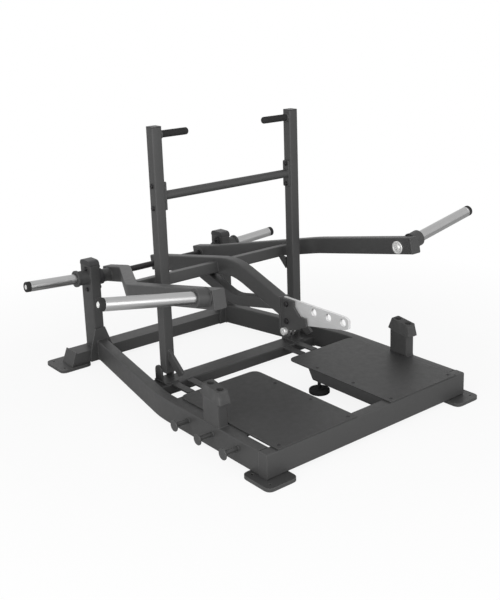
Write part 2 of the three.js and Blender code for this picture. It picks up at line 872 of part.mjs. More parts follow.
function add_platforms() {
  const width = platform_outer_x - platform_inner_x;
  const shape = new THREE.Shape();
  const round = platform_corner;
  shape.moveTo(platform_inner_x, 0);
  shape.lineTo(platform_outer_x, 0);
  shape.lineTo(platform_outer_x, platform_rear_y - round);
  shape.quadraticCurveTo(
    platform_outer_x, platform_rear_y, platform_outer_x - round, platform_rear_y);
  shape.lineTo(platform_inner_x + round, platform_rear_y);
  shape.quadraticCurveTo(
    platform_inner_x, platform_rear_y, platform_inner_x, platform_rear_y - round);
  shape.closePath();
  const plate = new THREE.ExtrudeGeometry(shape, {
    depth: platform_thick, bevelEnabled: false, curveSegments: 2 * corner_steps,
  });
  plate.translate(0, 0, platform_bottom);
  add_pair(machine, "platform_plate", geometry_of(solid(plate)), frame_look);
}

function add_platform_supports() {
  const front = rail_width + fit_gap;
  const length = support_rear_y - front;
  const section = tube_section(support_size, support_size, tube_corner, tube_wall);
  const tube = laid_rearward(straight(section, length));
  const high = platform_bottom - fit_gap;
  tube.translate(support_centre_x, front + length / 2, high - support_size / 2);
  const slope = side_plate([
    [support_rear_y, high], [support_rear_y - support_rear_slope, high - support_size],
    [support_rear_y - support_rear_slope, high - 2 * support_size],
    [support_rear_y + support_size, high - 2 * support_size], [support_rear_y + support_size, high],
  ], 2 * support_size, support_centre_x);
  const hole = rod_up(foot_stud_radius + fit_gap, support_size);
  hole.translate(support_centre_x, foot_puck_y, high - support_size);
  const support = solid(tube).subtract(solid(slope)).subtract(solid(hole));
  add_pair(machine, "platform_support", geometry_of(support), frame_look);
}

function add_levelling_feet() {
  const rim = foot_puck_radius - foot_puck_rim;
  const foot = turned([
    [0, 0], [foot_puck_radius, 0], [foot_puck_radius, foot_puck_height - foot_puck_rim],
    [rim, foot_puck_height], [foot_stud_radius, foot_puck_height],
    [foot_stud_radius, foot_stud_top - foot_puck_clear], [0, foot_stud_top - foot_puck_clear],
  ]).rotateX(Math.PI / 2);
  const geometry = geometry_of(solid(foot));
  for (const [name, side] of [["right", 1], ["left", -1]]) {
    const piece = add_piece(machine, `levelling_foot_${name}`, geometry, rubber_look);
    piece.position.set(side * support_centre_x, foot_puck_y, foot_puck_clear);
  }
}

// A bar that stands up, and spreads towards its foot on the right and at both ends.
function flared_block(width, depth, height, side_flare, end_flare) {
  const block_geometry = straight(bar_section(width, depth, tube_corner), height);
  const at = block_geometry.attributes.position;
  for (let i = 0; i < at.count; i += 1) {
    if (at.getZ(i) < 0) {
      at.setX(i, at.getX(i) + side_flare * (at.getX(i) / width + 1 / 2));
      at.setY(i, at.getY(i) * (1 + (2 * end_flare) / depth));
    }
  }
  return block_geometry;
}

// The post's top and its cap lean forward, to meet the lowered arm flat. Both caps are alike:
// each is flush with its post on the left and spreads on the right.
function add_bump_posts() {
  const tilt = THREE.MathUtils.degToRad(bump_tilt_deg);
  const low = frame_top + fit_gap;
  const high = post_top + post_depth * Math.sin(tilt);
  const section = tube_section(rail_width, post_depth, tube_corner, tube_wall);
  const tube = straight(section, high - low);
  tube.translate(rail_centre_x, post_y, (low + high) / 2);
  const above = block(
    [-rail_width, -post_depth, 0], [rail_width, post_depth, bump_cap_height]).rotateX(tilt);
  above.translate(rail_centre_x, post_y, post_top);
  const post = solid(tube).subtract(solid(above));
  add_pair(machine, "bump_post", geometry_of(post), frame_look);
  const body = flared_block(
    rail_width, post_depth, bump_cap_height, bump_cap_side_flare, bump_cap_end_flare);
  body.translate(0, 0, fit_gap + bump_cap_height / 2);
  let cap = solid(body);
  for (const side of [-1, 1]) {
    const hole = rod_up(bump_hole_radius, 2 * bump_hole_depth);
    hole.translate(0, (side * bump_hole_spacing) / 2, fit_gap + bump_cap_height);
    cap = cap.subtract(solid(hole));
  }
  const geometry = geometry_of(cap).rotateX(tilt);
  for (const [name, side] of [["right", 1], ["left", -1]]) {
    const piece = add_piece(machine, `bump_cap_${name}`, geometry, rubber_look);
    piece.position.set(side * rail_centre_x, post_y, post_top);
  }
}

// A chrome sleeve and its end cap, from the end of its boss outward.
function add_sleeve_pair(group, name, from, direction, start, length) {
  const end = length - sleeve_cap_length - fit_gap;
  const inside = sleeve_radius - sleeve_wall;
  const sleeve = turned([
    [inside, start + fit_gap], [sleeve_radius, start + fit_gap], [sleeve_radius, end],
    [inside, end], [inside, start + fit_gap]]);
  const cap = turned([
    [0, end + fit_gap], [sleeve_radius, end + fit_gap],
    [sleeve_radius, length - sleeve_cap_round], [sleeve_radius - sleeve_cap_round, length],
    [0, length]]);
  const sleeve_body = geometry_of(solid(pointed(sleeve, from, direction)));
  add_pair(group, `${name}_sleeve`, sleeve_body, chrome_look);
  add_pair(group, `${name}_end_cap`, geometry_of(solid(pointed(cap, from, direction))), rubber_look);
}

function add_storage_sleeves() {
  const from = new THREE.Vector3(column_outer_x, storage_y, storage_z);
  const direction = sleeve_direction(storage_tilt_deg, 0);
  add_sleeve_pair(machine, "storage", from, direction, storage_boss_length, storage_length);
}

// From level with the shaft the arm runs forward, spreads outward and runs forward again.
function arm_line() {
  const start = new THREE.Vector3(arm_rear_x, -arm_rear_forward, 0);
  const rear_corner = new THREE.Vector3(arm_rear_x, -arm_rear_bend_forward, 0);
  const front_corner = new THREE.Vector3(arm_front_x, -arm_front_bend_forward, arm_up);
  const end = new THREE.Vector3(arm_front_x, -arm_front_forward, arm_up);
  const rear_bend = bent_line(start, rear_corner, front_corner, arm_bend_reach);
  const front_bend = bent_line(rear_corner, front_corner, end, arm_bend_reach);
  return [...rear_bend.slice(0, -1), ...front_bend.slice(1)];
}

// The arm as a solid bar with its clearance, for trimming what ends against it.
function arm_envelope() {
  const section = bar_section(
    arm_height + 2 * fit_gap, arm_width + 2 * fit_gap, tube_corner + fit_gap);
  return solid(carried(section, arm_line()));
}

function lever_sleeve_root() {
  return new THREE.Vector3(arm_front_x + arm_width / 2, -lever_sleeve_forward, lever_sleeve_up);
}

function add_arms() {
  const bearing_face = column_inner_x - fit_gap - bearing_depth;
  const hub_inner_x = arm_rear_x - arm_width / 2 - hub_inner_proud;
  const hub_length = bearing_face - fit_gap - hub_inner_x;
  const hub_middle = hub_inner_x + hub_length / 2;
  const hub = rod_across(hub_radius, hub_length).translate(hub_middle, 0, 0);
  const bore = rod_across(shaft_radius + fit_gap, 2 * hub_length).translate(hub_middle, 0, 0);
  const relief_length = hub_length - 2 * hub_bush_length;
  const relief = rod_across(hub_radius - hub_bush_wall, relief_length).translate(hub_middle, 0, 0);
  const section = tube_section(arm_height, arm_width, tube_corner, tube_wall);
  const end = straight(bar_section(arm_end_width, arm_height, tube_corner), arm_end_thick);
  end.rotateX(Math.PI / 2);
  end.translate(arm_front_x, -arm_front_forward + arm_end_thick / 2, arm_up);
  const direction = sleeve_direction(lever_sleeve_tilt_deg, lever_sleeve_toe_deg);
  const sunk = tube_wall;
  const boss = pointed(turned([
    [0, -2 * sunk], [lever_boss_radius, -2 * sunk], [lever_boss_radius, lever_boss_length],
    [0, lever_boss_length]]), lever_sleeve_root(), direction);
  const wall_inside = arm_front_x + arm_width / 2 - tube_wall;
  const behind = block(
    [arm_front_x, -arm_front_forward, -arm_height],
    [wall_inside, -arm_front_bend_forward, arm_height]);
  const arm = solid(carried(section, arm_line()))
    .add(solid(hub))
    .add(solid(end))
    .add(solid(boss).subtract(solid(behind)))
    .subtract(solid(bore))
    .subtract(solid(relief));
  add_pair(lever, "lever_arm", geometry_of(arm), frame_look);
}

// The bright disc on the arm's inner face, opposite the sleeve.
function add_boss_washers() {
  const washer = rod_across(boss_washer_radius, boss_washer_thick);
  const inner_face = arm_front_x - arm_width / 2;
  washer.translate(
    inner_face - fit_gap - boss_washer_thick / 2, -boss_washer_forward, boss_washer_up);
  add_pair(lever, "boss_washer", geometry_of(solid(washer)), chrome_look);
}

function add_cross_tubes() {
  const start = spine_width / 2 + fit_gap;
  const end = arm_front_x - arm_width;
  const depth = cross_tube_front - cross_tube_rear;
  const height = cross_tube_high - cross_tube_low;
  const tube = laid_across(
    straight(tube_section(height, depth, tube_corner, tube_wall), end - start));
  tube.translate(
    (start + end) / 2, -(cross_tube_rear + depth / 2), (cross_tube_high + cross_tube_low) / 2);
  const outline = outline_between(
    stop_gusset_shares, [stop_gusset_front_y, stop_gusset_low],
    [stop_gusset_rear_y, stop_gusset_high]);
  const gusset = solid(into_lever(side_plate(outline, stop_gusset_thick, stop_gusset_x)));
  const hollow = block(
    [0, -cross_tube_front + tube_wall, cross_tube_low + tube_wall],
    [end, -cross_tube_rear - tube_wall, cross_tube_high - tube_wall]);
  const trimmed = solid(tube).add(gusset.subtract(solid(hollow))).subtract(arm_envelope());
  add_pair(lever, "cross_tube", geometry_of(trimmed), frame_look);
}

function spine_line() {
  const start = new THREE.Vector3(0, -spine_rear, spine_up_rear);
  const corner = new THREE.Vector3(0, -spine_bend_forward, spine_up_bend);
  const run = spine_reach() - spine_bend_forward;
  const end = new THREE.Vector3(0, -spine_reach(), spine_up_bend - run * spine_drop_share);
  return bent_line(start, corner, end, spine_bend_reach);
}

// How far forward the spine runs before it is trimmed against the plate at its nose.
function spine_reach() {
  return (pivot_y - nose_plate_y) / Math.cos(lever_pose) + 2 * overshoot;
}

function spine_envelope() {
  const section = bar_section(
    spine_width + 2 * fit_gap, spine_height + 2 * fit_gap, tube_corner + fit_gap);
  return solid(carried(section, spine_line()));
}

// Everything in front of the spine's nose plate, in the lever's own directions.
function ahead_of_nose() {
  const limit = nose_plate_y + nose_plate_thick / 2;
  return solid(into_lever(block(
    [-frame_half_width, -frame_half_width, -pivot_z], [frame_half_width, limit, 2 * pivot_z])));
}

function cheek(side) {
  const outline = outline_between(
    cheek_shares, [cheek_front_y, cheek_low], [cheek_rear_y, cheek_high]);
  const x = side * (belt_plate_thick / 2 + fit_gap + cheek_thick / 2);
  const pin_hole = rod_across(tie_pin_radius + fit_gap, 2 * cheek_thick);
  pin_hole.translate(x, tie_pin_y, tie_pin_z);
  let plate = solid(side_plate(outline, cheek_thick, x)).subtract(solid(pin_hole));
  for (const z of belt_bolt_zs) {
    const hole = rod_across(belt_bolt_radius + fit_gap, 2 * cheek_thick);
    hole.translate(x, belt_bolt_y, z);
    plate = plate.subtract(solid(hole));
  }
  return solid(into_lever(geometry_of(plate)));
}

function add_spine() {
  const section = tube_section(spine_width, spine_height, tube_corner, tube_wall);
  const end = straight(bar_section(spine_width, spine_height, tube_corner), spine_rear_cap);
  end.rotateX(Math.PI / 2);
  end.translate(0, -spine_rear + spine_rear_cap / 2 - fit_gap, spine_up_rear);
  const nose = into_lever(block(
    [-spine_width / 2, nose_plate_y, nose_plate_low],
    [spine_width / 2, nose_plate_y + nose_plate_thick, nose_plate_high]));
  const bore = rod_across(shaft_radius + fit_gap, 2 * spine_width);
  const spine = solid(carried(section, spine_line()))
    .subtract(ahead_of_nose())
    .add(solid(end))
    .add(solid(nose))
    .add(cheek(1))
    .add(cheek(-1))
    .subtract(solid(bore));
  add_piece(lever, "lever_spine", geometry_of(spine), frame_look);
}

function add_brace() {
  const start = new THREE.Vector3(0, -brace_start, brace_up_start);
  const corner = new THREE.Vector3(0, -brace_bend, brace_up_bend);
  const end = new THREE.Vector3(0, -brace_front, brace_up_bend);
  const line = bent_line(start, corner, end, brace_bend_reach);
  const section = tube_section(spine_width, brace_height, tube_corner, tube_wall);
  const brace = solid(carried(section, line))
    .subtract(spine_envelope())
    .subtract(ahead_of_nose());
  add_piece(lever, "lever_brace", geometry_of(brace), frame_look);
}

function add_shaft() {
  const half = column_inner_x - shaft_end_gap;
  add_piece(lever, "lever_shaft", geometry_of(solid(rod_across(shaft_radius, 2 * half))), bolt_look);
}

function add_lever_sleeves() {
  const direction = sleeve_direction(lever_sleeve_tilt_deg, lever_sleeve_toe_deg);
  add_sleeve_pair(
    lever, "lever", lever_sleeve_root(), direction, lever_boss_length, lever_sleeve_length);
}

function add_belt_plate() {
  const outline = outline_between(
    belt_plate_shares, [belt_plate_nose_y, belt_plate_low], [belt_plate_rear_y, belt_plate_top]);
  let plate = solid(side_plate(outline, belt_plate_thick, 0));
  for (const y of belt_hole_ys) {
    const hole = rod_across(belt_hole_radius, 2 * belt_plate_thick);
    hole.translate(0, y, belt_hole_z);
    plate = plate.subtract(solid(hole));
  }
  for (const z of belt_bolt_zs) {
    const hole = rod_across(belt_bolt_radius + fit_gap, 2 * belt_plate_thick);
    hole.translate(0, belt_bolt_y, z);
    plate = plate.subtract(solid(hole));
  }
  add_piece(lever, "belt_plate", into_lever(geometry_of(plate)), brushed_look);
}

function add_tie_pin() {
  const pin = rod_across(tie_pin_radius, 2 * tie_pin_reach);
  pin.translate(0, tie_pin_y, tie_pin_z);
  add_piece(lever, "tie_pin", geometry_of(solid(into_lever(pin))), chrome_look);
}

function add_belt_bolts() {
  const grip_half = belt_plate_thick / 2 + fit_gap + cheek_thick + fit_gap;
  const reach = grip_half + belt_bolt_head_thick;
  belt_bolt_zs.forEach((z, i) => {
    const bolt = turned([
      [0, -reach], [belt_bolt_head_radius, -reach], [belt_bolt_head_radius, -grip_half],
      [belt_bolt_radius, -grip_half], [belt_bolt_radius, grip_half],
      [belt_bolt_head_radius, grip_half], [belt_bolt_head_radius, reach], [0, reach]]);
    bolt.rotateZ(-Math.PI / 2);
    bolt.translate(0, belt_bolt_y, z);
    const geometry = into_lever(geometry_of(solid(bolt)));
    add_piece(lever, `belt_bolt_${i + 1}`, geometry, bolt_look);
  });
}

add_front_beam();
add_side_rails();
add_mid_beam();
add_rear_beam();
add_foot_plates();
add_columns();
add_column_caps();
add_joint_plates();
add_bearings();
add_uprights();
add_upright_caps();
add_upright_bases();
add_crossbar();
add_handles();
add_platforms();
add_platform_supports();
add_levelling_feet();
add_bump_posts();
add_storage_sleeves();
add_arms();
add_boss_washers();
add_cross_tubes();
add_spine();
add_brace();
add_shaft();
add_lever_sleeves();
add_belt_plate();
add_belt_bolts();
add_tie_pin();

export default part;
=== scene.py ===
"""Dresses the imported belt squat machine: paint, chrome, rubber, fasteners, welds and a studio."""
import math

import bmesh
import bpy
from mathutils import Matrix, Vector


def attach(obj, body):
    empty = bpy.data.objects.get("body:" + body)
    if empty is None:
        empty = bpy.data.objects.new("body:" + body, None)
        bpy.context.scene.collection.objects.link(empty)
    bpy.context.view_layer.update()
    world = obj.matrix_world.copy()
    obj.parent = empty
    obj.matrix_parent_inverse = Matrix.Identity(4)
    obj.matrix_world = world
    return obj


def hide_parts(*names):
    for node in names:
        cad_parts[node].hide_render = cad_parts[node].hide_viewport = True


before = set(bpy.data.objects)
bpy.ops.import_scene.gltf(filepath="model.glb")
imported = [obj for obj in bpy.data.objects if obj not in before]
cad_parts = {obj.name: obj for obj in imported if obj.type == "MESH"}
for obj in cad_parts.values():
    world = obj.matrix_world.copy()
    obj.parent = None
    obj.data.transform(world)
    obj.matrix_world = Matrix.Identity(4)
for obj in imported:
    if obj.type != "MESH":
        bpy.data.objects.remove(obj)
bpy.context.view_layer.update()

bl_info = {
    "name": "Belt squat machine finish",
    "version": (1, 0, 0),
    "blender": (4, 5, 0),
    "location": "3D View > Sidebar > Squat machine",
    "description": "Paint, bright parts, rubber, fasteners and welds for a belt squat machine",
    "category": "Object",
}

# Places of the machine, in metres
along_x = Vector((1, 0, 0))
along_y = Vector((0, 1, 0))
along_z = Vector((0, 0, 1))
pivot = Vector((0, 0.7445, 0.431))
lever_pitch = math.radians(10.5)
lever_turn = Matrix.Rotation(-lever_pitch, 4, "X")
lever_place = Matrix.Translation(pivot) @ lever_turn
front_face = -0.8075
front_beam_rear = front_face + 0.0502
fit_gap = 0.0003
lift = 0.0001  # how far a fastener stands off its face

sleeve_radius = 0.025
sleeve_wall = 0.004
sleeve_cap_length = 0.022
sleeve_cap_round = 0.004
storage_root = Vector((0.433, 0.7415, 0.441))
storage_tilt = math.radians(3.64)
storage_boss_length = 0.064
storage_boss_radius = 0.036
storage_length = 0.327
lever_sleeve_root = Vector((0.578, -1.243, 0))
lever_sleeve_tilt = math.radians(9.16)
lever_sleeve_toe = math.radians(2)
lever_boss_length = 0.054
lever_boss_radius = 0.0375
lever_sleeve_length = 0.453

upright_x = 0.386
upright_y = 0.1225
upright_half = 0.025
upright_bottom = 0.118
upright_inner_x = upright_x - upright_half - fit_gap
strap_half = 0.007
strap_low = 0.181
strap_high = 0.226
lug_front = 0.1235
lug_rear = 0.1775
lug_top = 0.14
base_front = 0.0925
base_low = 0.0656
base_high = 0.0736
base_half = 0.036
crossbar_z = 0.9315
crossbar_radius = 0.02
crossbar_plate = 0.01
crossbar_bolt_rise = 0.049
handle_z = 1.201
handle_length = 0.1477
handle_collar_radius = 0.021
handle_collar_thick = 0.007
handle_bar_radius = 0.0125
grip_radius = 0.016
grip_tip = 0.006

column_x = 0.406
column_half = 0.027
column_y = 0.7525
column_half_depth = 0.05
column_foot_z = 0.0756
bearing_face = 0.3667
bearing_bolt_rise = 0.0535

rail_x = 0.545
rail_half = 0.025
rail_half_height = 0.0515
rail_run_in = math.atan(0.185)
rail_end = Vector((0.4008, 0.694, 0.0668))
rail_end_half = 0.0254
frame_top = 0.1183
front_corner_low = 0.02
front_corner_high = 0.114
tube_corner = 0.006

peg_ys = (0.178, 0.343, 0.506)
peg_z = 0.08
peg_radius = 0.01
mid_beam_end = Vector((0.4818, 0.1375, 0.0403))
mid_beam_half_depth = 0.0508
mid_beam_half_height = 0.025
rest_xs = (0.293, 0.373)
rest_root_y = 0.0875
rest_root_z = 0.0653
rest_bead_half = 0.016

post_y = -0.4585
post_half = 0.0245
post_half_depth = 0.052
post_top = 0.226
cap_tilt = math.radians(8)
cap_height = 0.0543
cap_hole_depth = 0.012
cap_hole_offset = 0.031

support_root = Vector((0.125, front_beam_rear, 0.0933))
support_half = 0.025
platform_top = frame_top + 0.0063
platform_screws = ((0.125, -0.7825), (0.49, -0.7825), (0.125, -0.56), (0.125, -0.33))
foot_place = Vector((0.125, -0.3415, 0.008))
foot_radius = 0.048
foot_height = 0.02
stud_radius = 0.008
stud_top = 0.08

arm_rear_x = 0.28
arm_front_x = 0.551
arm_half = 0.027
arm_spread_start = 0.125
arm_spread = (arm_front_x - arm_rear_x) / (0.642 - arm_spread_start)
hub_radius = 0.033
spine_side_x = 0.0253
cross_tube_forward = 0.523
cross_tube_up = -0.01
cross_tube_half_depth = 0.035
cross_tube_half_height = 0.025
washer_radius = 0.03
washer_thick = 0.006
washer_forward = 1.21
washer_up = -0.017
belt_bolt_y = -0.2905
belt_bolt_zs = (0.374, 0.453)
cheek_outer_x = 0.0163
cheek_grip = 0.0166
cheek_low = 0.312
cheek_high = 0.472
belt_head_thick = 0.009
belt_head_radius = 0.013
tie_pin_place = Vector((0, -0.2775, 0.324))
tie_pin_radius = 0.017
tie_pin_reach = 0.032
nose_face_y = -0.2578

# Both sides' signs and name endings, and what the welds of each body are measured from
side_names = {1: "right", -1: "left"}
body_places = {"base": Matrix.Identity(4), "lever": lever_place}

# Fasteners and welds
head_flat = 0.84
bead_sides = 8
bead_inset = 0.003

# The photograph's view, in metres and in pixels of its height
view_middle = Vector((0, -0.1075, 0.6966))
photo_height = 600
photo_focal = 922.48
photo_shift = (-11.32, -57.92)

# The studio, in metres
floor_half = 14
floor_z = -0.0012
key_spot = (-4.2, -1.9, 1.6)
key_size = 4.4
fill_spot = (0.2, -5.4, 1.5)
fill_size = 3.6
lamp_aim = Vector((0, 0, 0.45))

# The mixed materials by name, which SquatFinishes fills in
finishes = {}


def colour(name, description, default):
    """A colour that a user can change."""
    return bpy.props.FloatVectorProperty(
        name=name, description=description, default=default, size=3, min=0, max=1,
        subtype="COLOR")


def share(name, description, default):
    """A value from 0 to 1 that a user can change."""
    return bpy.props.FloatProperty(
        name=name, description=description, default=default, min=0, max=1, subtype="FACTOR")


def distance(name, description, default):
    """A length that a user can change."""
    return bpy.props.FloatProperty(
        name=name, description=description, default=default, min=0, max=10, precision=5,
        subtype="DISTANCE", unit="LENGTH")


class SquatColours(bpy.types.PropertyGroup):
    """Colours of the machine's finishes."""

    paint: colour("Paint", "Powder coat on the steel frame", (0.043, 0.043, 0.043))
    tread: colour("Tread", "Gritty coat on the platforms", (0.027, 0.027, 0.027))
    chrome: colour("Chrome", "Bright plated sleeves", (0.42, 0.42, 0.42))
    belt_steel: colour("Belt plate", "Brushed steel of the belt plate", (0.72, 0.72, 0.72))
    zinc: colour("Zinc", "Plated washers, pin and sleeve buttons", (0.78, 0.78, 0.77))
    black_steel: colour("Blackened steel", "Bolts, nuts and screws", (0.028, 0.028, 0.030))
    casting: colour("Casting", "Bearing housings", (0.026, 0.026, 0.027))
    rubber: colour("Rubber", "Grips, feet and the caps of the sleeves", (0.017, 0.017, 0.017))
    bumper: colour("Bumper", "Rubber caps of the bump posts", (0.062, 0.062, 0.062))
    plastic: colour("Plastic", "End caps of tubes and sleeves", (0.021, 0.021, 0.022))
    floor: colour("Floor", "Studio floor", (0.86, 0.86, 0.86))


class SquatFinish(bpy.types.PropertyGroup):
    """How the finishes look close up."""

    paint_roughness: share("Paint roughness", "Roughness of the powder coat", 0.5)
    peel_depth: distance("Orange peel", "Height of the powder coat's ripple", 0.00016)
    edge_radius: distance("Edge radius", "How far the paint rounds an edge", 0.003)
    # Painted highlight: how much the paint's colour is lightened on its rounded edges, in place of
    # light catching them
    edge_highlight: share("Edge highlight", "How much lighter the paint is on edges", 0.55)
    chrome_roughness: share("Chrome roughness", "Roughness of the plated sleeves", 0.3)
    brush_depth: distance("Brush marks", "Height of the brushed steel's marks", 0.00008)
    rubber_roughness: share("Rubber roughness", "Roughness of the rubber", 0.78)


class SquatHardware(bpy.types.PropertyGroup):
    """Sizes of the fasteners, welds and grips."""

    bead_radius: distance("Weld radius", "Half the width of a weld bead", 0.003)
    bead_ripple: distance("Weld ripple", "Length of one ripple of a weld bead", 0.0045)
    bolt_head: distance("Bolt head", "Half the width of a bolt's head over its corners", 0.0098)
    bolt_height: distance("Bolt height", "Height of a bolt's head", 0.0064)
    bolt_washer: distance("Bolt washer", "Radius of the washer under a bolt", 0.0125)
    screw_radius: distance("Screw head", "Radius of a platform screw's head", 0.0085)
    grip_rib: distance("Grip rib", "Length of one rib of a handle grip", 0.0042)
    grip_groove: distance("Grip groove", "Depth between the ribs of a grip", 0.0006)


class SquatStudio(bpy.types.PropertyGroup):
    """The studio's light and camera."""

    ambient: share("Ambient", "Strength of the light from all sides", 0.5)
    key: bpy.props.FloatProperty(
        name="Key", description="Power of the large lamp on the left", default=175, min=0,
        unit="POWER")
    fill: bpy.props.FloatProperty(
        name="Fill", description="Power of the lamp in front", default=120, min=0,
        unit="POWER")
    shadow: share("Floor shadow", "How much of the shadows shows on the floor", 0.12)
    camera_distance: distance("Camera distance", "From the camera to the middle", 4.1339)
    azimuth: bpy.props.FloatProperty(
        name="Azimuth", description="Angle of the camera round the machine",
        default=math.radians(-38.89), subtype="ANGLE", unit="ROTATION")
    elevation: bpy.props.FloatProperty(
        name="Elevation", description="Angle of the camera above the horizon",
        default=math.radians(14.75), subtype="ANGLE", unit="ROTATION")
    roll: bpy.props.FloatProperty(
        name="Roll", description="Tilt of the camera to one side",
        default=math.radians(-1.74), subtype="ANGLE", unit="ROTATION")


class Signal:
    """What a node gives out over a surface; arithmetic on it adds Math nodes."""

    def __init__(self, nodes, socket):
        self.nodes = nodes
        self.socket = socket

    def _math(self, operation, first, second):
        return self.nodes.node("ShaderNodeMath", {"operation": operation}, {0: first, 1: second})

    def __add__(self, other):
        return self._math("ADD", self, other)

    __radd__ = __add__

    def __sub__(self, other):
        return self._math("SUBTRACT", self, other)

    def __rsub__(self, other):
        return self._math("SUBTRACT", other, self)

    def __mul__(self, other):
        return self._math("MULTIPLY", self, other)

    __rmul__ = __mul__


class Nodes:
    """A node tree that is built from signals."""

    def __init__(self, tree):
        self.tree = tree

    def join(self, value, socket):
        """Links a signal to a socket, or sets the socket's own value."""
        if isinstance(value, Signal):
            self.tree.links.new(value.socket, socket)
        else:
            socket.default_value = value

    def node(self, kind, settings=None, values=None, output=0):
        """Adds a node: its settings first, then the values or signals of its sockets."""
        made = self.tree.nodes.new(kind)
        for key, value in (settings or {}).items():
            setattr(made, key, value)
        for socket, value in (values or {}).items():
            self.join(value, made.inputs[socket])
        return Signal(self, made.outputs[output])


class Finish(Nodes):
    """One material of the machine: a Principled shader and the nodes that vary it."""

    def __init__(self, name, roughness=0.5, metallic=0.0, specular=0.5):
        self.material = bpy.data.materials.new(name)
        self.material.use_nodes = True
        super().__init__(self.material.node_tree)
        self.shader = self.tree.nodes["Principled BSDF"]
        self.surface(Roughness=roughness, Metallic=metallic, Specular_IOR_Level=specular)

    def surface(self, **inputs):
        """Feeds sockets of the shader and gives the material back."""
        for name, value in inputs.items():
            self.join(value, self.shader.inputs[name.replace("_", " ")])
        return self.material

    def place(self):
        """Where a point lies in its piece, in metres."""
        return self.node("ShaderNodeTexCoord", output="Object")

    def stretched(self, x, y, z):
        """The same place, scaled apart along the three axes."""
        return self.node(
            "ShaderNodeVectorMath", {"operation": "MULTIPLY"}, {0: self.place(), 1: (x, y, z)})

    def noise(self, scale, detail=2.0, place=None):
        """Soft random variation from 0 to 1."""
        return self.node(
            "ShaderNodeTexNoise", None,
            {"Vector": place or self.place(), "Scale": scale, "Detail": detail})

    def cells(self, scale):
        """Distance to the nearest of many scattered points."""
        return self.node(
            "ShaderNodeTexVoronoi", None, {"Vector": self.place(), "Scale": scale})

    def ramp(self, value, low, high):
        """0 below low, 1 above high and even in between."""
        made = self.node("ShaderNodeValToRGB", None, {0: value})
        for stop, position in zip(made.socket.node.color_ramp.elements, (low, high)):
            stop.position = position
        return made

    def blend(self, factor, first, second):
        """A colour between two colours."""
        return self.node(
            "ShaderNodeMix", {"data_type": "RGBA"},
            {0: factor, 6: first, 7: second}, output=2)

    def rounded(self, radius):
        """The surface's direction with its edges rounded."""
        return self.node("ShaderNodeBevel", {"samples": 6}, {"Radius": radius})

    def edges(self, rounded):
        """1 on the edges of a piece and 0 on its flats."""
        normal = self.node("ShaderNodeNewGeometry", output="Normal")
        facing = self.node(
            "ShaderNodeVectorMath", {"operation": "DOT_PRODUCT"}, {0: rounded, 1: normal},
            output="Value")
        return self.ramp(1 - facing, 0.015, 0.16)

    def bumped(self, height, depth, rounded=None):
        """The surface's direction roughened by a height."""
        values = {"Height": height, "Distance": depth, "Strength": 1.0}
        if rounded:
            values["Normal"] = rounded
        return self.node("ShaderNodeBump", None, values)


def tone(rgb, factor):
    """A colour made lighter or darker, with its alpha."""
    return tuple(min(1, part * factor) for part in rgb) + (1,)


def powder_coat(name, look, rgb, grit=0.0, shine=0.0):
    """Matt powder coat: a fine ripple, cloudy tone, and a painted highlight that makes it paler
    where it rounds an edge.
    """
    finish = Finish(name, specular=0.42)
    rounded = finish.rounded(look.edge_radius)
    edge = finish.edges(rounded)
    cloud = finish.noise(5.5, 4)
    speck = finish.noise(420, 2)
    mottle = 0.7 * cloud + 0.3 * speck
    body = finish.blend(mottle, tone(rgb, 0.9), tone(rgb, 1.1))
    # Painted highlight: the paint's colour turns paler along rounded edges, where light would catch
    # them
    edge_lightened = finish.blend(edge * look.edge_highlight, body, tone(rgb, 3))
    peel = finish.noise(260, 2)
    grain = finish.noise(1300, 2)
    height = 0.7 * peel + (0.3 + grit) * grain
    rough = look.paint_roughness - shine + 0.16 * (finish.noise(38, 3) - 0.5) - 0.1 * edge
    return finish.surface(
        Base_Color=edge_lightened, Roughness=rough, Normal=finish.bumped(height, look.peel_depth, rounded))


def chrome_plate(name, look, rgb):
    """Bright plating on a turned tube: fine turning rings and a few rubbed streaks along it."""
    finish = Finish(name, metallic=1.0)
    rings = finish.noise(1.0, 2, finish.stretched(12, 12, 2600))
    streaks = finish.noise(1.0, 3, finish.stretched(520, 520, 9))
    rubbed = finish.ramp(streaks, 0.45, 0.75)
    clouds = finish.noise(14, 3)
    body = finish.blend(0.6 * clouds + 0.4 * rubbed, tone(rgb, 0.9), tone(rgb, 1.08))
    rough = look.chrome_roughness + 0.1 * rubbed + 0.08 * (rings - 0.5)
    return finish.surface(
        Base_Color=body, Roughness=rough, Normal=finish.bumped(rings, look.brush_depth * 0.3))


def brushed_steel(name, look, rgb):
    """Plate steel brushed along its length, with a clean rounded edge."""
    finish = Finish(name, metallic=0.75)
    rounded = finish.rounded(look.edge_radius * 0.4)
    fine = finish.noise(1.0, 2, finish.stretched(300, 26, 1900))
    broad = finish.noise(1.0, 3, finish.stretched(60, 9, 260))
    marks = 0.65 * fine + 0.35 * broad
    body = finish.blend(marks, tone(rgb, 0.82), tone(rgb, 1.2))
    return finish.surface(
        Base_Color=body, Roughness=0.3 + 0.22 * marks,
        Normal=finish.bumped(marks, look.brush_depth, rounded))


def zinc_plate(name, look, rgb):
    """Bright zinc: faint crystals, turned faces and small handling marks."""
    finish = Finish(name, metallic=0.6)
    crystals = finish.cells(520)
    marks = finish.ramp(finish.noise(160, 3), 0.5, 0.72)
    body = finish.blend(0.6 * crystals + 0.4 * marks, tone(rgb, 1.1), tone(rgb, 0.86))
    return finish.surface(
        Base_Color=body, Roughness=0.34 + 0.12 * marks,
        Normal=finish.bumped(crystals, look.brush_depth * 0.5))


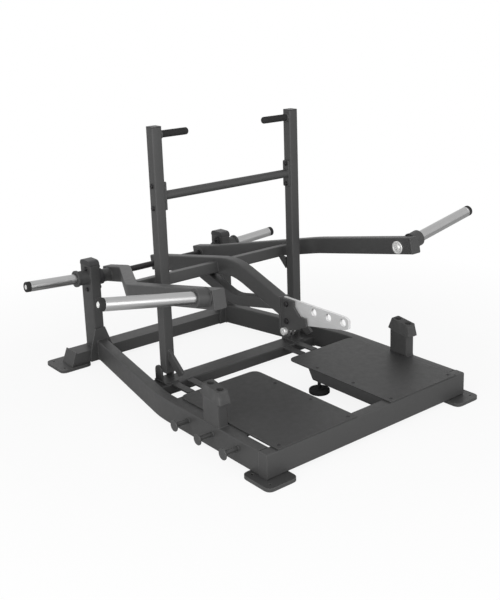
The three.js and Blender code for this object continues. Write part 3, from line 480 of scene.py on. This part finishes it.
def black_steel(name, look, rgb):
    """Oiled black steel of bolts: dark, slightly brown in places and bright on the edges."""
    finish = Finish(name, metallic=0.7)
    rounded = finish.rounded(look.edge_radius * 0.25)
    edge = finish.edges(rounded)
    stain = finish.ramp(finish.noise(230, 3), 0.42, 0.7)
    warm = (rgb[0] * 1.5, rgb[1] * 1.25, rgb[2] * 1.05, 1)
    body = finish.blend(0.6 * stain, tone(rgb, 1), warm)
    edge_lightened = finish.blend(edge * 0.6, body, tone(rgb, 5))
    return finish.surface(
        Base_Color=edge_lightened, Roughness=0.36 + 0.16 * stain,
        Normal=finish.bumped(finish.noise(1500, 2), look.peel_depth * 0.3, rounded))


def cast_iron(name, look, rgb):
    """Painted casting: the grain of the sand shows through the paint."""
    finish = Finish(name, metallic=0.2, specular=0.4)
    rounded = finish.rounded(look.edge_radius)
    edge = finish.edges(rounded)
    sand = 0.6 * finish.noise(420, 4) + 0.4 * finish.cells(700)
    body = finish.blend(sand, tone(rgb, 0.8), tone(rgb, 1.25))
    edge_lightened = finish.blend(edge * 0.35, body, tone(rgb, 2.4))
    return finish.surface(
        Base_Color=edge_lightened, Roughness=0.5 + 0.15 * sand,
        Normal=finish.bumped(sand, look.peel_depth * 2, rounded))


def moulded_rubber(name, look, rgb):
    """Matt rubber: a fine moulded grain, faint dust and softened edges."""
    finish = Finish(name, specular=0.3)
    rounded = finish.rounded(look.edge_radius * 1.2)
    dust = finish.ramp(finish.noise(26, 4), 0.5, 0.8)
    grain = finish.noise(1700, 3)
    body = finish.blend(0.45 * dust, tone(rgb, 0.9), tone(rgb, 1.9))
    return finish.surface(
        Base_Color=body, Roughness=look.rubber_roughness + 0.1 * dust,
        Normal=finish.bumped(grain, look.peel_depth, rounded))


def moulded_plastic(name, look, rgb):
    """Black plastic: a small pebbled texture with a low shine."""
    finish = Finish(name, specular=0.45)
    rounded = finish.rounded(look.edge_radius * 0.6)
    pebbles = finish.cells(1500)
    cloud = finish.noise(22, 3)
    body = finish.blend(cloud, tone(rgb, 0.85), tone(rgb, 1.3))
    return finish.surface(
        Base_Color=body, Roughness=0.42 + 0.12 * cloud,
        Normal=finish.bumped(pebbles, look.peel_depth * 0.5, rounded))


def mesh_from(name, work, sharp_deg=32):
    """Ends the work mesh and keeps its edges sharp where its faces turn by more."""
    bmesh.ops.recalc_face_normals(work, faces=work.faces)
    limit = math.radians(sharp_deg)
    for face in work.faces:
        face.smooth = True
    for edge in work.edges:
        edge.smooth = edge.calc_face_angle(0) < limit
    mesh = bpy.data.meshes.new(name)
    work.to_mesh(mesh)
    work.free()
    return mesh


def hardware():
    """The sizes of the fasteners, welds and grips."""
    return bpy.context.scene.squat_hardware


def add_piece(mesh, finish, body, place=None):
    """Puts a mesh in the machine as a piece of the same name that moves with a body."""
    piece = bpy.data.objects.new(mesh.name, mesh)
    bpy.context.scene.collection.objects.link(piece)
    piece.matrix_world = place or Matrix.Identity(4)
    mesh.materials.append(finishes[finish])
    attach(piece, body)
    return piece


def facing(point, direction):
    """The place of a turned piece, from a point and along a direction."""
    return Matrix.Translation(point) @ direction.to_track_quat("Z", "Y").to_matrix().to_4x4()


def ring_of(work, steps, radius, height, sides=0):
    """One loop of points; sides is 0 for a circle and 6 for a hexagon of that corner radius."""
    if radius == 0:
        return [work.verts.new((0, 0, height))]
    loop = []
    for i in range(steps):
        turn = 2 * math.pi * i / steps
        reach = radius
        if sides:
            sector = 2 * math.pi / sides
            off = (turn % sector) - sector / 2
            reach = radius * math.cos(sector / 2) / math.cos(off)
        loop.append(work.verts.new((reach * math.cos(turn), reach * math.sin(turn), height)))
    return loop


def skin(work, loops):
    """Joins loops of points by faces; an end loop may also be a single point."""
    for low, high in zip(loops, loops[1:]):
        steps = max(len(low), len(high))
        for i in range(steps):
            j = (i + 1) % steps
            corners = (
                low[i % len(low)], low[j % len(low)], high[j % len(high)], high[i % len(high)])
            work.faces.new(list(dict.fromkeys(corners)))


def turned_mesh(name, steps, rings, tube=False):
    """A body turned round +Z from rings of (radius, height) or (radius, height, sides)."""
    work = bmesh.new()
    loops = [ring_of(work, steps, *ring) for ring in rings]
    skin(work, loops + loops[:1] if tube else loops)
    return mesh_from(name, work)


def rim(radius, height, round_by, steps):
    """Points of a rounded corner, from the side of a disc to its top."""
    turns = [math.pi / 2 * i / steps for i in range(steps + 1)]
    return [
        (radius - round_by + round_by * math.cos(turn),
         height - round_by + round_by * math.sin(turn)) for turn in turns]


def bolt_mesh(name):
    """A hexagon bolt head with a chamfered top on a washer."""
    sizes = hardware()
    washer, head = sizes.bolt_washer, sizes.bolt_head
    thick = 0.0018
    top = thick + sizes.bolt_height
    return turned_mesh(name, 36, [
        (0, 0), (washer, 0), *rim(washer, thick, 0.0005, 2), (head, thick, 6),
        (head, top - 0.0014, 6), (head * head_flat, top), (0, top)])


def mirrored(vector, side):
    """A point or direction of the right side, on the given side."""
    return Vector((side * vector.x, vector.y, vector.z))


def lay_bead(kind, side, path, closed, body):
    """Lays a rippled weld bead along a path."""
    sizes = hardware()
    points = []
    step = sizes.bead_ripple / 4
    ends = path + path[:1] if closed else path
    for start, end in zip(ends, ends[1:]):
        count = max(1, round((end - start).length / step))
        points += [start.lerp(end, i / count) for i in range(count)]
    if not closed:
        points.append(ends[-1])
    work = bmesh.new()
    loops = []
    total = len(points)
    turns = [2 * math.pi / bead_sides * j for j in range(bead_sides)]
    for i, point in enumerate(points):
        before = points[i - 1] if closed or i else point
        after = points[(i + 1) % total] if closed or i + 1 < total else point
        run = (after - before).normalized()
        across = run.orthogonal() if i == 0 else across - run * across.dot(run)
        across.normalize()
        up = run.cross(across)
        swell = 1 + 0.13 * math.sin(math.pi / 2 * i) + 0.07 * math.sin(2.3 * i)
        reach = sizes.bead_radius * swell
        loops.append([
            work.verts.new(point + reach * (math.cos(turn) * across + math.sin(turn) * up))
            for turn in turns])
    if closed:
        first, last = loops[0], loops[-1]
        shift = min(range(bead_sides), key=lambda n: (first[n].co - last[0].co).length)
        loops.append(first[shift:] + first[:shift])
    skin(work, loops)
    if not closed:
        work.faces.new(loops[0][::-1])
        work.faces.new(loops[-1])
    mesh = mesh_from(f"weld_{kind}_{side_names[side]}", work, 80)
    add_piece(mesh, "weld", body)


def weld_loop(kind, side, centre, first, second, half_first, half_second,
              corner=tube_corner, body="base"):
    """A weld round a tube's end; its centre is the right side's, in its body's place."""
    centre = body_places[body] @ mirrored(Vector(centre), side)
    path = []
    for quarter, (a, b) in enumerate(((1, 1), (-1, 1), (-1, -1), (1, -1))):
        for i in range(5):
            turn = math.pi / 2 * (quarter + i / 4)
            across = a * (half_first - corner) + corner * math.cos(turn)
            upward = b * (half_second - corner) + corner * math.sin(turn)
            path.append(centre + across * first + upward * second)
    kept = [point for i, point in enumerate(path) if (point - path[i - 1]).length > 1e-5]
    lay_bead(kind, side, kept, True, body)


def weld_ring(kind, side, centre, first, second, radius, body="base"):
    """A weld round a bar or a boss."""
    weld_loop(kind, side, centre, first, second, radius, radius, radius, body)


def weld_line(kind, side, start, end, body="base"):
    """A weld along a seam, whose ends are the right side's."""
    ends = [mirrored(Vector(point), side) for point in (start, end)]
    lay_bead(kind, side, ends, False, body)


def dress(node, finish):
    """Gives a CAD node its finish, with smooth curved faces and sharp edges."""
    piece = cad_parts[node]
    mesh = piece.data
    for name in ("custom_normal", "sharp_edge", "sharp_face"):
        if name in mesh.attributes:
            mesh.attributes.remove(mesh.attributes[name])
    mesh.shade_smooth()
    piece.material_slots[0].material = finishes[finish]
    weld = piece.modifiers.new("joined", "WELD")
    weld.merge_threshold = 0.00001
    split = piece.modifiers.new("sharp edges", "EDGE_SPLIT")
    split.split_angle = math.radians(30)
    split.use_edge_sharp = False


class SquatCamera(bpy.types.Operator):
    """Sets the camera where the photograph was taken from."""

    bl_idname = "squat.camera"
    bl_label = "Camera"

    def execute(self, context):
        studio = context.scene.squat_studio
        a, e, r = studio.azimuth, studio.elevation, studio.roll
        back = Vector((math.sin(a) * math.cos(e), -math.cos(a) * math.cos(e), math.sin(e)))
        right = Vector((math.cos(a), math.sin(a), 0))
        up = back.cross(right)
        rolled_right = right * math.cos(r) + up * math.sin(r)
        rolled_up = up * math.cos(r) - right * math.sin(r)
        turn = Matrix((rolled_right, rolled_up, back)).transposed().to_4x4()
        lens = bpy.data.cameras.new("view")
        lens.sensor_width = 36
        lens.lens = photo_focal * lens.sensor_width / photo_height
        lens.shift_x = photo_shift[0] / photo_height
        lens.shift_y = photo_shift[1] / photo_height
        camera = bpy.data.objects.new("view", lens)
        context.scene.collection.objects.link(camera)
        camera.matrix_world = Matrix.Translation(view_middle + studio.camera_distance * back) @ turn
        context.scene.camera = camera
        return {"FINISHED"}


class SquatStage(bpy.types.Operator):
    """Lays the pale floor and sets the soft lamps round the machine."""

    bl_idname = "squat.stage"
    bl_label = "Studio"

    def execute(self, context):
        scene = context.scene
        studio = scene.squat_studio
        scene.view_settings.view_transform = "Standard"
        self.make_floor(scene, studio)
        self.make_world(scene, studio)
        self.add_lamp(scene, "key lamp", key_spot, key_size, studio.key)
        self.add_lamp(scene, "fill lamp", fill_spot, fill_size, studio.fill)
        return {"FINISHED"}

    def make_floor(self, scene, studio):
        """A floor that is white to the camera but for a trace of the shadows."""
        work = bmesh.new()
        steps = (-floor_half, 0, floor_half)
        rows = [[work.verts.new((x, y, floor_z)) for x in steps] for y in steps]
        for low, high in zip(rows, rows[1:]):
            for i in range(2):
                work.faces.new((low[i], low[i + 1], high[i + 1], high[i]))
        mesh = mesh_from("floor", work)
        floor = bpy.data.objects.new("floor", mesh)
        scene.collection.objects.link(floor)
        finish = Finish("studio floor", roughness=0.9, specular=0.1)
        rgb = scene.squat_colours.floor
        speckle = finish.noise(90, 3)
        finish.surface(Base_Color=finish.blend(speckle, tone(rgb, 0.98), tone(rgb, 1.02)))
        seen = finish.node("ShaderNodeLightPath", output="Is Camera Ray")
        away = finish.node(
            "ShaderNodeVectorMath", {"operation": "LENGTH"}, {0: finish.place()}, output="Value")
        near = 1 - finish.ramp(away * 0.25, 0.3, 0.6)
        white = finish.node("ShaderNodeEmission", None, {"Strength": 1.0})
        lit = Signal(finish, finish.shader.outputs[0])
        mixed = finish.node(
            "ShaderNodeMixShader", None, {0: seen * (1 - studio.shadow * near), 1: lit, 2: white})
        finish.join(mixed, finish.tree.nodes["Material Output"].inputs["Surface"])
        mesh.materials.append(finish.material)

    def make_world(self, scene, studio):
        """Soft light from all sides, behind a white background."""
        world = bpy.data.worlds.new("studio")
        scene.world = world
        world.use_nodes = True
        sky = Nodes(world.node_tree)
        clear = sky.node("ShaderNodeLightPath", output="Is Camera Ray")
        for kind in ("Is Glossy Ray", "Is Transmission Ray"):
            ray = sky.node("ShaderNodeLightPath", output=kind)
            clear = sky.node("ShaderNodeMath", {"operation": "MAXIMUM"}, {0: clear, 1: ray})
        level = sky.node("ShaderNodeMix", None, {0: clear, 2: studio.ambient, 3: 1.0})
        background = sky.tree.nodes["Background"].inputs
        sky.join((1, 1, 1, 1), background["Color"])
        sky.join(level, background["Strength"])

    def add_lamp(self, scene, name, spot, size, power):
        """A square lamp that points at the middle of the machine."""
        light = bpy.data.lights.new(name, "AREA")
        light.size = size
        light.energy = power
        lamp = bpy.data.objects.new(name, light)
        scene.collection.objects.link(lamp)
        lamp.location = spot
        aim = lamp_aim - Vector(spot)
        lamp.rotation_euler = aim.to_track_quat("-Z", "Y").to_euler()


class SquatFinishes(bpy.types.Operator):
    """Mixes every finish of the machine."""

    bl_idname = "squat.finishes"
    bl_label = "Finishes"

    def execute(self, context):
        rgb = context.scene.squat_colours
        look = context.scene.squat_finish
        for key, recipe, name in (
                ("paint", powder_coat, "powder coat"), ("chrome", chrome_plate, "chrome plate"),
                ("belt_steel", brushed_steel, "brushed belt plate"),
                ("zinc", zinc_plate, "zinc plate"), ("black_steel", black_steel, "black steel"),
                ("casting", cast_iron, "painted casting"),
                ("rubber", moulded_rubber, "moulded rubber"),
                ("bumper", moulded_rubber, "bumper rubber"),
                ("plastic", moulded_plastic, "moulded plastic")):
            finishes[key] = recipe(name, look, getattr(rgb, key))
        finishes["tread"] = powder_coat("gritty powder coat", look, rgb.tread, grit=0.9)
        finishes["weld"] = powder_coat("powder coat over welds", look, rgb.paint, shine=0.08)
        return {"FINISHED"}


class SquatFrame(bpy.types.Operator):
    """Paints the steel frame, the lever and every other piece that keeps its solid."""

    bl_idname = "squat.frame"
    bl_label = "Frame and lever"

    def execute(self, context):
        finish_of = {
            "frame_paint": "paint", "brushed_steel": "belt_steel", "dark_metal": "casting",
            "platform_plate": "tread", "bump_cap": "bumper", "lever_shaft": "black_steel"}
        for node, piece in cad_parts.items():
            kind = node.removesuffix("_right").removesuffix("_left")
            slot = piece.material_slots[0].material.name
            dress(node, finish_of.get(kind, finish_of.get(slot, slot)))
        return {"FINISHED"}


class SquatSleeves(bpy.types.Operator):
    """Turns the plate sleeves, their end caps and the caps' bright buttons."""

    bl_idname = "squat.sleeves"
    bl_label = "Plate sleeves"

    def execute(self, context):
        out = Vector((math.cos(storage_tilt), 0, math.sin(storage_tilt)))
        level = math.cos(lever_sleeve_tilt)
        lever_out = Vector((
            level * math.cos(lever_sleeve_toe), level * math.sin(lever_sleeve_toe),
            math.sin(lever_sleeve_tilt)))
        for side, name in side_names.items():
            self.add_sleeve(
                f"storage_sleeve_{name}", f"storage_end_cap_{name}", "base",
                facing(mirrored(storage_root, side), mirrored(out, side)),
                storage_boss_length, storage_length)
            direction = lever_turn @ mirrored(lever_out, side)
            self.add_sleeve(
                f"lever_sleeve_{name}", f"lever_end_cap_{name}", "lever",
                facing(lever_place @ mirrored(lever_sleeve_root, side), direction),
                lever_boss_length, lever_sleeve_length)
        return {"FINISHED"}

    def add_sleeve(self, node, cap_node, body, place, start, length):
        """One sleeve with a chamfered end, its cap and the button in the cap."""
        low = start + fit_gap
        cap_start = length - sleeve_cap_length
        high = cap_start - fit_gap
        bore = sleeve_radius - sleeve_wall
        groove = sleeve_radius - 0.0006
        chamfer = 0.0008
        mesh = turned_mesh(f"turned_{node}", 96, [
            (bore, low), (sleeve_radius - chamfer, low), (sleeve_radius, low + chamfer),
            (sleeve_radius, high - 0.009), (groove, high - 0.0086), (groove, high - 0.0074),
            (sleeve_radius, high - 0.007), (sleeve_radius, high - chamfer),
            (sleeve_radius - chamfer, high), (bore, high)], tube=True)
        sleeve = add_piece(mesh, "chrome", body, place)
        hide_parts(node)
        seat = length - 0.0045
        hollow = 0.0135
        lip = 0.001
        mesh = turned_mesh(f"moulded_{cap_node}", 64, [
            (0, cap_start), (sleeve_radius - lip, cap_start), (sleeve_radius, cap_start + lip),
            *rim(sleeve_radius, length, sleeve_cap_round, 6), (hollow + lip, length),
            (hollow, length - lip), (hollow, seat), (0, seat)])
        cap = add_piece(mesh, "rubber", body, place)
        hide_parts(cap_node)
        button = 0.0118
        dimple = length - 0.0016
        mesh = turned_mesh(f"button_{cap_node}", 48, [
            (0, seat + lift), (button, seat + lift), *rim(button, length - 0.0008, 0.0016, 4),
            (0.005, length - 0.0006), (0.0036, dimple), (0, dimple)])
        add_piece(mesh, "zinc", body, place)


class SquatGrips(bpy.types.Operator):
    """Moulds the ribbed grips of the handles."""

    bl_idname = "squat.grips"
    bl_label = "Handle grips"

    def execute(self, context):
        sizes = hardware()
        start = handle_collar_thick + fit_gap
        bar_end = handle_length - grip_tip
        inside = handle_bar_radius + fit_gap
        smooth_end = handle_length - 0.016
        low = grip_radius - sizes.grip_groove
        ribs = [(grip_radius, start + 0.006)]
        at = start + 0.008
        while at + sizes.grip_rib < smooth_end:
            ribs += [
                (grip_radius, at), (low, at + 0.0005), (low, at + 0.0012),
                (grip_radius, at + 0.0017)]
            at += sizes.grip_rib
        profile = [
            (0, bar_end), (inside, bar_end), (inside, start), (grip_radius - 0.001, start),
            (grip_radius, start + 0.001), *ribs,
            *rim(grip_radius, handle_length, grip_tip * 1.6, 8), (0, handle_length)]
        for side, name in side_names.items():
            root = mirrored(Vector((upright_inner_x, upright_y, handle_z)), side)
            mesh = turned_mesh(f"moulded_handle_grip_{name}", 48, profile)
            grip = add_piece(mesh, "rubber", "base", facing(root, mirrored(-along_x, side)))
            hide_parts(f"handle_grip_{name}")
        return {"FINISHED"}


class SquatBeltHardware(bpy.types.Operator):
    """Makes the belt plate's bolts, the tie pin and the bright discs of the arms."""

    bl_idname = "squat.belt_hardware"
    bl_label = "Belt plate hardware"

    def execute(self, context):
        for number, z in enumerate(belt_bolt_zs, 1):
            self.add_belt_bolt(f"belt_bolt_{number}", Vector((0, belt_bolt_y, z)))
        self.add_tie_pin()
        for side, name in side_names.items():
            self.add_arm_disc(name, side)
        return {"FINISHED"}

    def add_belt_bolt(self, node, middle):
        """A hexagon bolt through both cheeks, with a nut on its far end."""
        reach = cheek_grip + belt_head_thick
        radius = belt_head_radius
        flat = radius * head_flat
        shank = 0.008
        nut = 0.0022 - reach
        mesh = turned_mesh(f"turned_{node}", 36, [
            (0, -reach), (shank * 0.8, -reach), (shank, -reach + 0.0012), (shank, nut),
            (flat, nut), (radius, -reach + 0.0034, 6), (radius, -cheek_grip, 6),
            (shank, -cheek_grip), (shank, cheek_grip), (radius, cheek_grip, 6),
            (radius, reach - 0.0014, 6), (flat, reach), (0, reach)])
        bolt = add_piece(mesh, "black_steel", "lever", facing(middle, -along_x))
        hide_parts(node)

    def add_tie_pin(self):
        """The bright pin under the spine, with its ends chamfered and centre drilled."""
        reach = tie_pin_reach
        drilled = reach - 0.0022
        ends = [
            (0.0022, drilled), (0.0034, reach), (tie_pin_radius - 0.0018, reach),
            (tie_pin_radius, reach - 0.0018)]
        mesh = turned_mesh("turned_tie_pin", 48, [
            (0, -drilled), *[(radius, -height) for radius, height in ends], *ends[::-1],
            (0, drilled)])
        pin = add_piece(mesh, "zinc", "lever", facing(tie_pin_place, along_x))
        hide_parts("tie_pin")

    def add_arm_disc(self, name, side):
        """The washer on an arm's inner face and the bolt head in its middle."""
        face = Vector((arm_front_x - arm_half - fit_gap, -washer_forward, washer_up))
        place = facing(lever_place @ mirrored(face, side), mirrored(-along_x, side))
        hollow = washer_thick - 0.0014
        mesh = turned_mesh(f"turned_boss_washer_{name}", 64, [
            (0, 0), (washer_radius - 0.001, 0), (washer_radius, 0.001),
            *rim(washer_radius, washer_thick, 0.0018, 4), (0.0225, washer_thick),
            (0.0212, hollow), (0, hollow)])
        disc = add_piece(mesh, "zinc", "lever", place)
        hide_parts(f"boss_washer_{name}")
        low = hollow + lift
        top = low + 0.0066
        head = 0.0135
        mesh = turned_mesh(f"boss_bolt_{name}", 36, [
            (0, low), (head, low, 6), (head, low + 0.0052, 6), (head * head_flat, top), (0, top)])
        add_piece(mesh, "zinc", "lever", place)


class SquatFeet(bpy.types.Operator):
    """Turns the levelling feet, with a grooved pad and a threaded stud."""

    bl_idname = "squat.feet"
    bl_label = "Levelling feet"

    def execute(self, context):
        pitch = 0.0018
        thread = 0.0007
        waist = foot_radius - 0.0012
        profile = [
            (0, 0.002), (foot_radius * 0.72, 0.002), (foot_radius * 0.75, 0),
            (foot_radius - 0.002, 0), (foot_radius, 0.002), (foot_radius, 0.0065),
            (waist, 0.0072), (waist, 0.0084), (foot_radius, 0.0091),
            *rim(foot_radius, foot_height - 0.002, 0.004, 5), (0.0235, foot_height - 0.0012),
            (0.022, foot_height), (stud_radius + 0.004, foot_height),
            (stud_radius, foot_height + 0.0008)]
        at = foot_height + 0.001
        while at + pitch < stud_top:
            profile += [(stud_radius, at), (stud_radius - thread, at + pitch / 2)]
            at += pitch
        profile += [(stud_radius, at), (stud_radius - 0.001, stud_top), (0, stud_top)]
        for side, name in side_names.items():
            mesh = turned_mesh(f"turned_levelling_foot_{name}", 56, profile)
            place = Matrix.Translation(mirrored(foot_place, side))
            foot = add_piece(mesh, "rubber", f"levelling_foot_{name}", place)
            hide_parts(f"levelling_foot_{name}")
        return {"FINISHED"}


class SquatBolts(bpy.types.Operator):
    """Sets the bolts of the crossbar and bearings and the screws of platforms and bump caps."""

    bl_idname = "squat.bolts"
    bl_label = "Bolts and screws"

    def execute(self, context):
        for side, name in side_names.items():
            self.add_bolts(
                "crossbar", name, side, upright_y, crossbar_z, crossbar_bolt_rise,
                upright_inner_x - crossbar_plate, upright_x + upright_half)
            self.add_bolts(
                "bearing", name, side, pivot.y, pivot.z, bearing_bolt_rise, bearing_face,
                column_x + column_half)
            self.add_platform_screws(name, side)
            self.add_cap_screws(name, side)
        return {"FINISHED"}

    def add_bolts(self, kind, name, side, y, z, rise, inner, outer):
        """Two hexagon bolts, below and above y, z: heads on the inner face, nuts on the outer."""
        for level, way in (("low", -rise), ("high", rise)):
            for part, x, direction in (
                    ("bolt", inner, -side * along_x), ("nut", outer, side * along_x)):
                point = Vector((side * x, y, z + way)) + direction * lift
                mesh = bolt_mesh(f"{kind}_{part}_{level}_{name}")
                add_piece(mesh, "black_steel", "base", facing(point, direction))

    def add_platform_screws(self, name, side):
        """Low socket screws that hold a platform to the beam and its support."""
        radius = hardware().screw_radius
        socket = 0.0036
        floor = 0.0004
        for number, (x, y) in enumerate(platform_screws, 1):
            mesh = turned_mesh(f"platform_screw_{number}_{name}", 36, [
                (0, 0), (radius, 0), (radius - 0.0002, 0.0004), (radius * 0.72, 0.0017),
                (0.0042, 0.0019), (socket, 0.0016, 6), (socket, floor, 6), (0, floor)])
            place = Matrix.Translation((side * x, y, platform_top + lift))
            add_piece(mesh, "black_steel", "base", place)

    def add_cap_screws(self, name, side):
        """Two round screws with hexagon sockets, down in the holes of a bump cap."""
        cap = Matrix.Translation((side * rail_x, post_y, post_top))
        cap = cap @ Matrix.Rotation(cap_tilt, 4, "X")
        hole_floor = cap_height - cap_hole_depth
        radius = 0.0085
        height = 0.0035
        socket = 0.0046
        floor = height - 0.0025
        for number, offset in ((1, -cap_hole_offset), (2, cap_hole_offset)):
            mesh = turned_mesh(f"cap_screw_{number}_{name}", 36, [
                (0, 0), (radius, 0), *rim(radius, height, 0.0008, 3), (socket * 1.12, height),
                (socket, height - 0.0007, 6), (socket, floor, 6), (0, floor)])
            place = cap @ Matrix.Translation((0, offset, hole_floor + lift))
            add_piece(mesh, "black_steel", "base", place)


class SquatWelds(bpy.types.Operator):
    """Lays the weld beads where the tubes and plates of the frame and the lever meet."""

    bl_idname = "squat.welds"
    bl_label = "Welds"

    def execute(self, context):
        for side in side_names:
            self.weld_floor_frame(side)
            self.weld_columns(side)
            self.weld_uprights(side)
            self.weld_lever(side)
        return {"FINISHED"}

    def weld_floor_frame(self, side):
        """Beads on the rails, the middle beam and its rests, the supports, the posts, the pegs."""
        slant = mirrored(Vector((-math.sin(rail_run_in), math.cos(rail_run_in), 0)), side)
        weld_loop(
            "mid_beam", side, mid_beam_end, slant, along_z, mid_beam_half_depth,
            mid_beam_half_height)
        weld_loop(
            "rail_end", side, rail_end, along_x, along_z, rail_end_half, rail_half_height)
        inner = rail_x - rail_half
        weld_line(
            "front_corner", side, (inner, front_beam_rear, front_corner_low),
            (inner, front_beam_rear, front_corner_high))
        weld_loop(
            "support", side, support_root, along_x, along_z, support_half, support_half)
        foot = (rail_x, post_y, frame_top)
        weld_loop("post", side, foot, along_x, along_y, post_half, post_half_depth)
        for number, x in enumerate(rest_xs, 1):
            weld_line(
                f"rest_{number}", side, (x - rest_bead_half, rest_root_y, rest_root_z),
                (x + rest_bead_half, rest_root_y, rest_root_z))
        if side > 0:
            return  # only the left rail carries band pegs
        for number, y in enumerate(peg_ys, 1):
            root = (rail_x + rail_half, y + front_face, peg_z)
            weld_ring(f"peg_{number}", side, root, along_y, along_z, peg_radius)

    def weld_columns(self, side):
        """Beads at the foot of a column and round its storage boss."""
        foot = (column_x, column_y, column_foot_z)
        weld_loop("column", side, foot, along_x, along_y, column_half, column_half_depth)
        upward = mirrored(Vector((-math.sin(storage_tilt), 0, math.cos(storage_tilt))), side)
        weld_ring("storage", side, storage_root, along_y, upward, storage_boss_radius)

    def weld_uprights(self, side):
        """Beads of an upright's flat bar and lugs, round the crossbar and round the handle."""
        strap_y = upright_y - upright_half
        for edge, way in (("in", -1), ("out", 1)):
            x = upright_x + way * strap_half
            weld_line(
                f"strap_{edge}", side, (x, strap_y, strap_low), (x, strap_y, strap_high))
            x = upright_x + way * (upright_half + 0.001)
            weld_line(
                f"lug_{edge}", side, (x, lug_front, upright_bottom + bead_inset),
                (x, lug_front, lug_top))
            x = upright_x + way * (upright_half - 0.001)
            weld_line(
                f"lug_foot_{edge}", side, (x, lug_front + bead_inset, base_high),
                (x, lug_rear - bead_inset, base_high))
        reach = base_half - 0.004
        weld_line(
            "base", side, (upright_x - reach, base_front, base_low),
            (upright_x + reach, base_front, base_low))
        crossbar_end = (upright_inner_x - crossbar_plate, upright_y, crossbar_z)
        weld_ring("crossbar", side, crossbar_end, along_y, along_z, crossbar_radius)
        handle_root = (upright_inner_x, upright_y, handle_z)
        weld_ring("handle", side, handle_root, along_y, along_z, handle_collar_radius)

    def weld_lever(self, side):
        """Beads of the cross tubes, the sleeve bosses, the hubs and the cheeks."""
        forward = lever_turn @ -along_y
        upward = lever_turn @ along_z
        weld_loop(
            "spine", side, (spine_side_x, -cross_tube_forward, cross_tube_up), forward,
            upward, cross_tube_half_depth, cross_tube_half_height, body="lever")
        angle = math.atan(arm_spread)
        inner = arm_rear_x + (cross_tube_forward - arm_spread_start) * arm_spread
        inner -= arm_half / math.cos(angle)
        run = lever_turn @ mirrored(Vector((math.sin(angle), -math.cos(angle), 0)), side)
        weld_loop(
            "arm", side, (inner, -cross_tube_forward, cross_tube_up), run, upward,
            cross_tube_half_depth / math.cos(angle), cross_tube_half_height, body="lever")
        tilt = Vector((-math.sin(lever_sleeve_tilt), 0, math.cos(lever_sleeve_tilt)))
        weld_ring(
            "boss", side, lever_sleeve_root, forward, lever_turn @ mirrored(tilt, side),
            lever_boss_radius, "lever")
        hub_face = (arm_rear_x + arm_half, 0, 0)
        weld_ring("hub", side, hub_face, forward, upward, hub_radius, "lever")
        weld_line(
            "cheek", side, (cheek_outer_x, nose_face_y, cheek_low),
            (cheek_outer_x, nose_face_y, cheek_high), "lever")


class SquatPanel(bpy.types.Panel):
    """Lists the machine's colours, sizes and pieces in the sidebar."""

    bl_idname = "VIEW3D_PT_squat_machine"
    bl_label = "Squat machine"
    bl_space_type = "VIEW_3D"
    bl_region_type = "UI"
    bl_category = "Squat machine"

    def draw(self, context):
        layout = self.layout
        for name in property_groups:
            group = getattr(context.scene, name)
            box = layout.box()
            for key in group.__annotations__:
                box.prop(group, key)
        for operator in operators:
            layout.operator(operator.bl_idname)


property_groups = {
    "squat_colours": SquatColours, "squat_finish": SquatFinish,
    "squat_hardware": SquatHardware, "squat_studio": SquatStudio}
operators = (
    SquatCamera, SquatStage, SquatFinishes, SquatFrame, SquatSleeves, SquatGrips,
    SquatBeltHardware, SquatFeet, SquatBolts, SquatWelds)


def register():
    """Registers the add-on's classes and the groups that hold its sizes and colours."""
    for group in property_groups.values():
        bpy.utils.register_class(group)
    for name, group in property_groups.items():
        setattr(bpy.types.Scene, name, bpy.props.PointerProperty(type=group))
    for operator in operators:
        bpy.utils.register_class(operator)
    bpy.utils.register_class(SquatPanel)


def unregister():
    """Takes the add-on's classes and groups away again."""
    bpy.utils.unregister_class(SquatPanel)
    for operator in reversed(operators):
        bpy.utils.unregister_class(operator)
    for name in property_groups:
        delattr(bpy.types.Scene, name)
    for group in property_groups.values():
        bpy.utils.unregister_class(group)


def main():
    """Builds the dressed machine."""
    register()
    for operator in operators:
        group, action = operator.bl_idname.split(".")
        getattr(getattr(bpy.ops, group), action)()


if __name__ == "__main__":
    main()
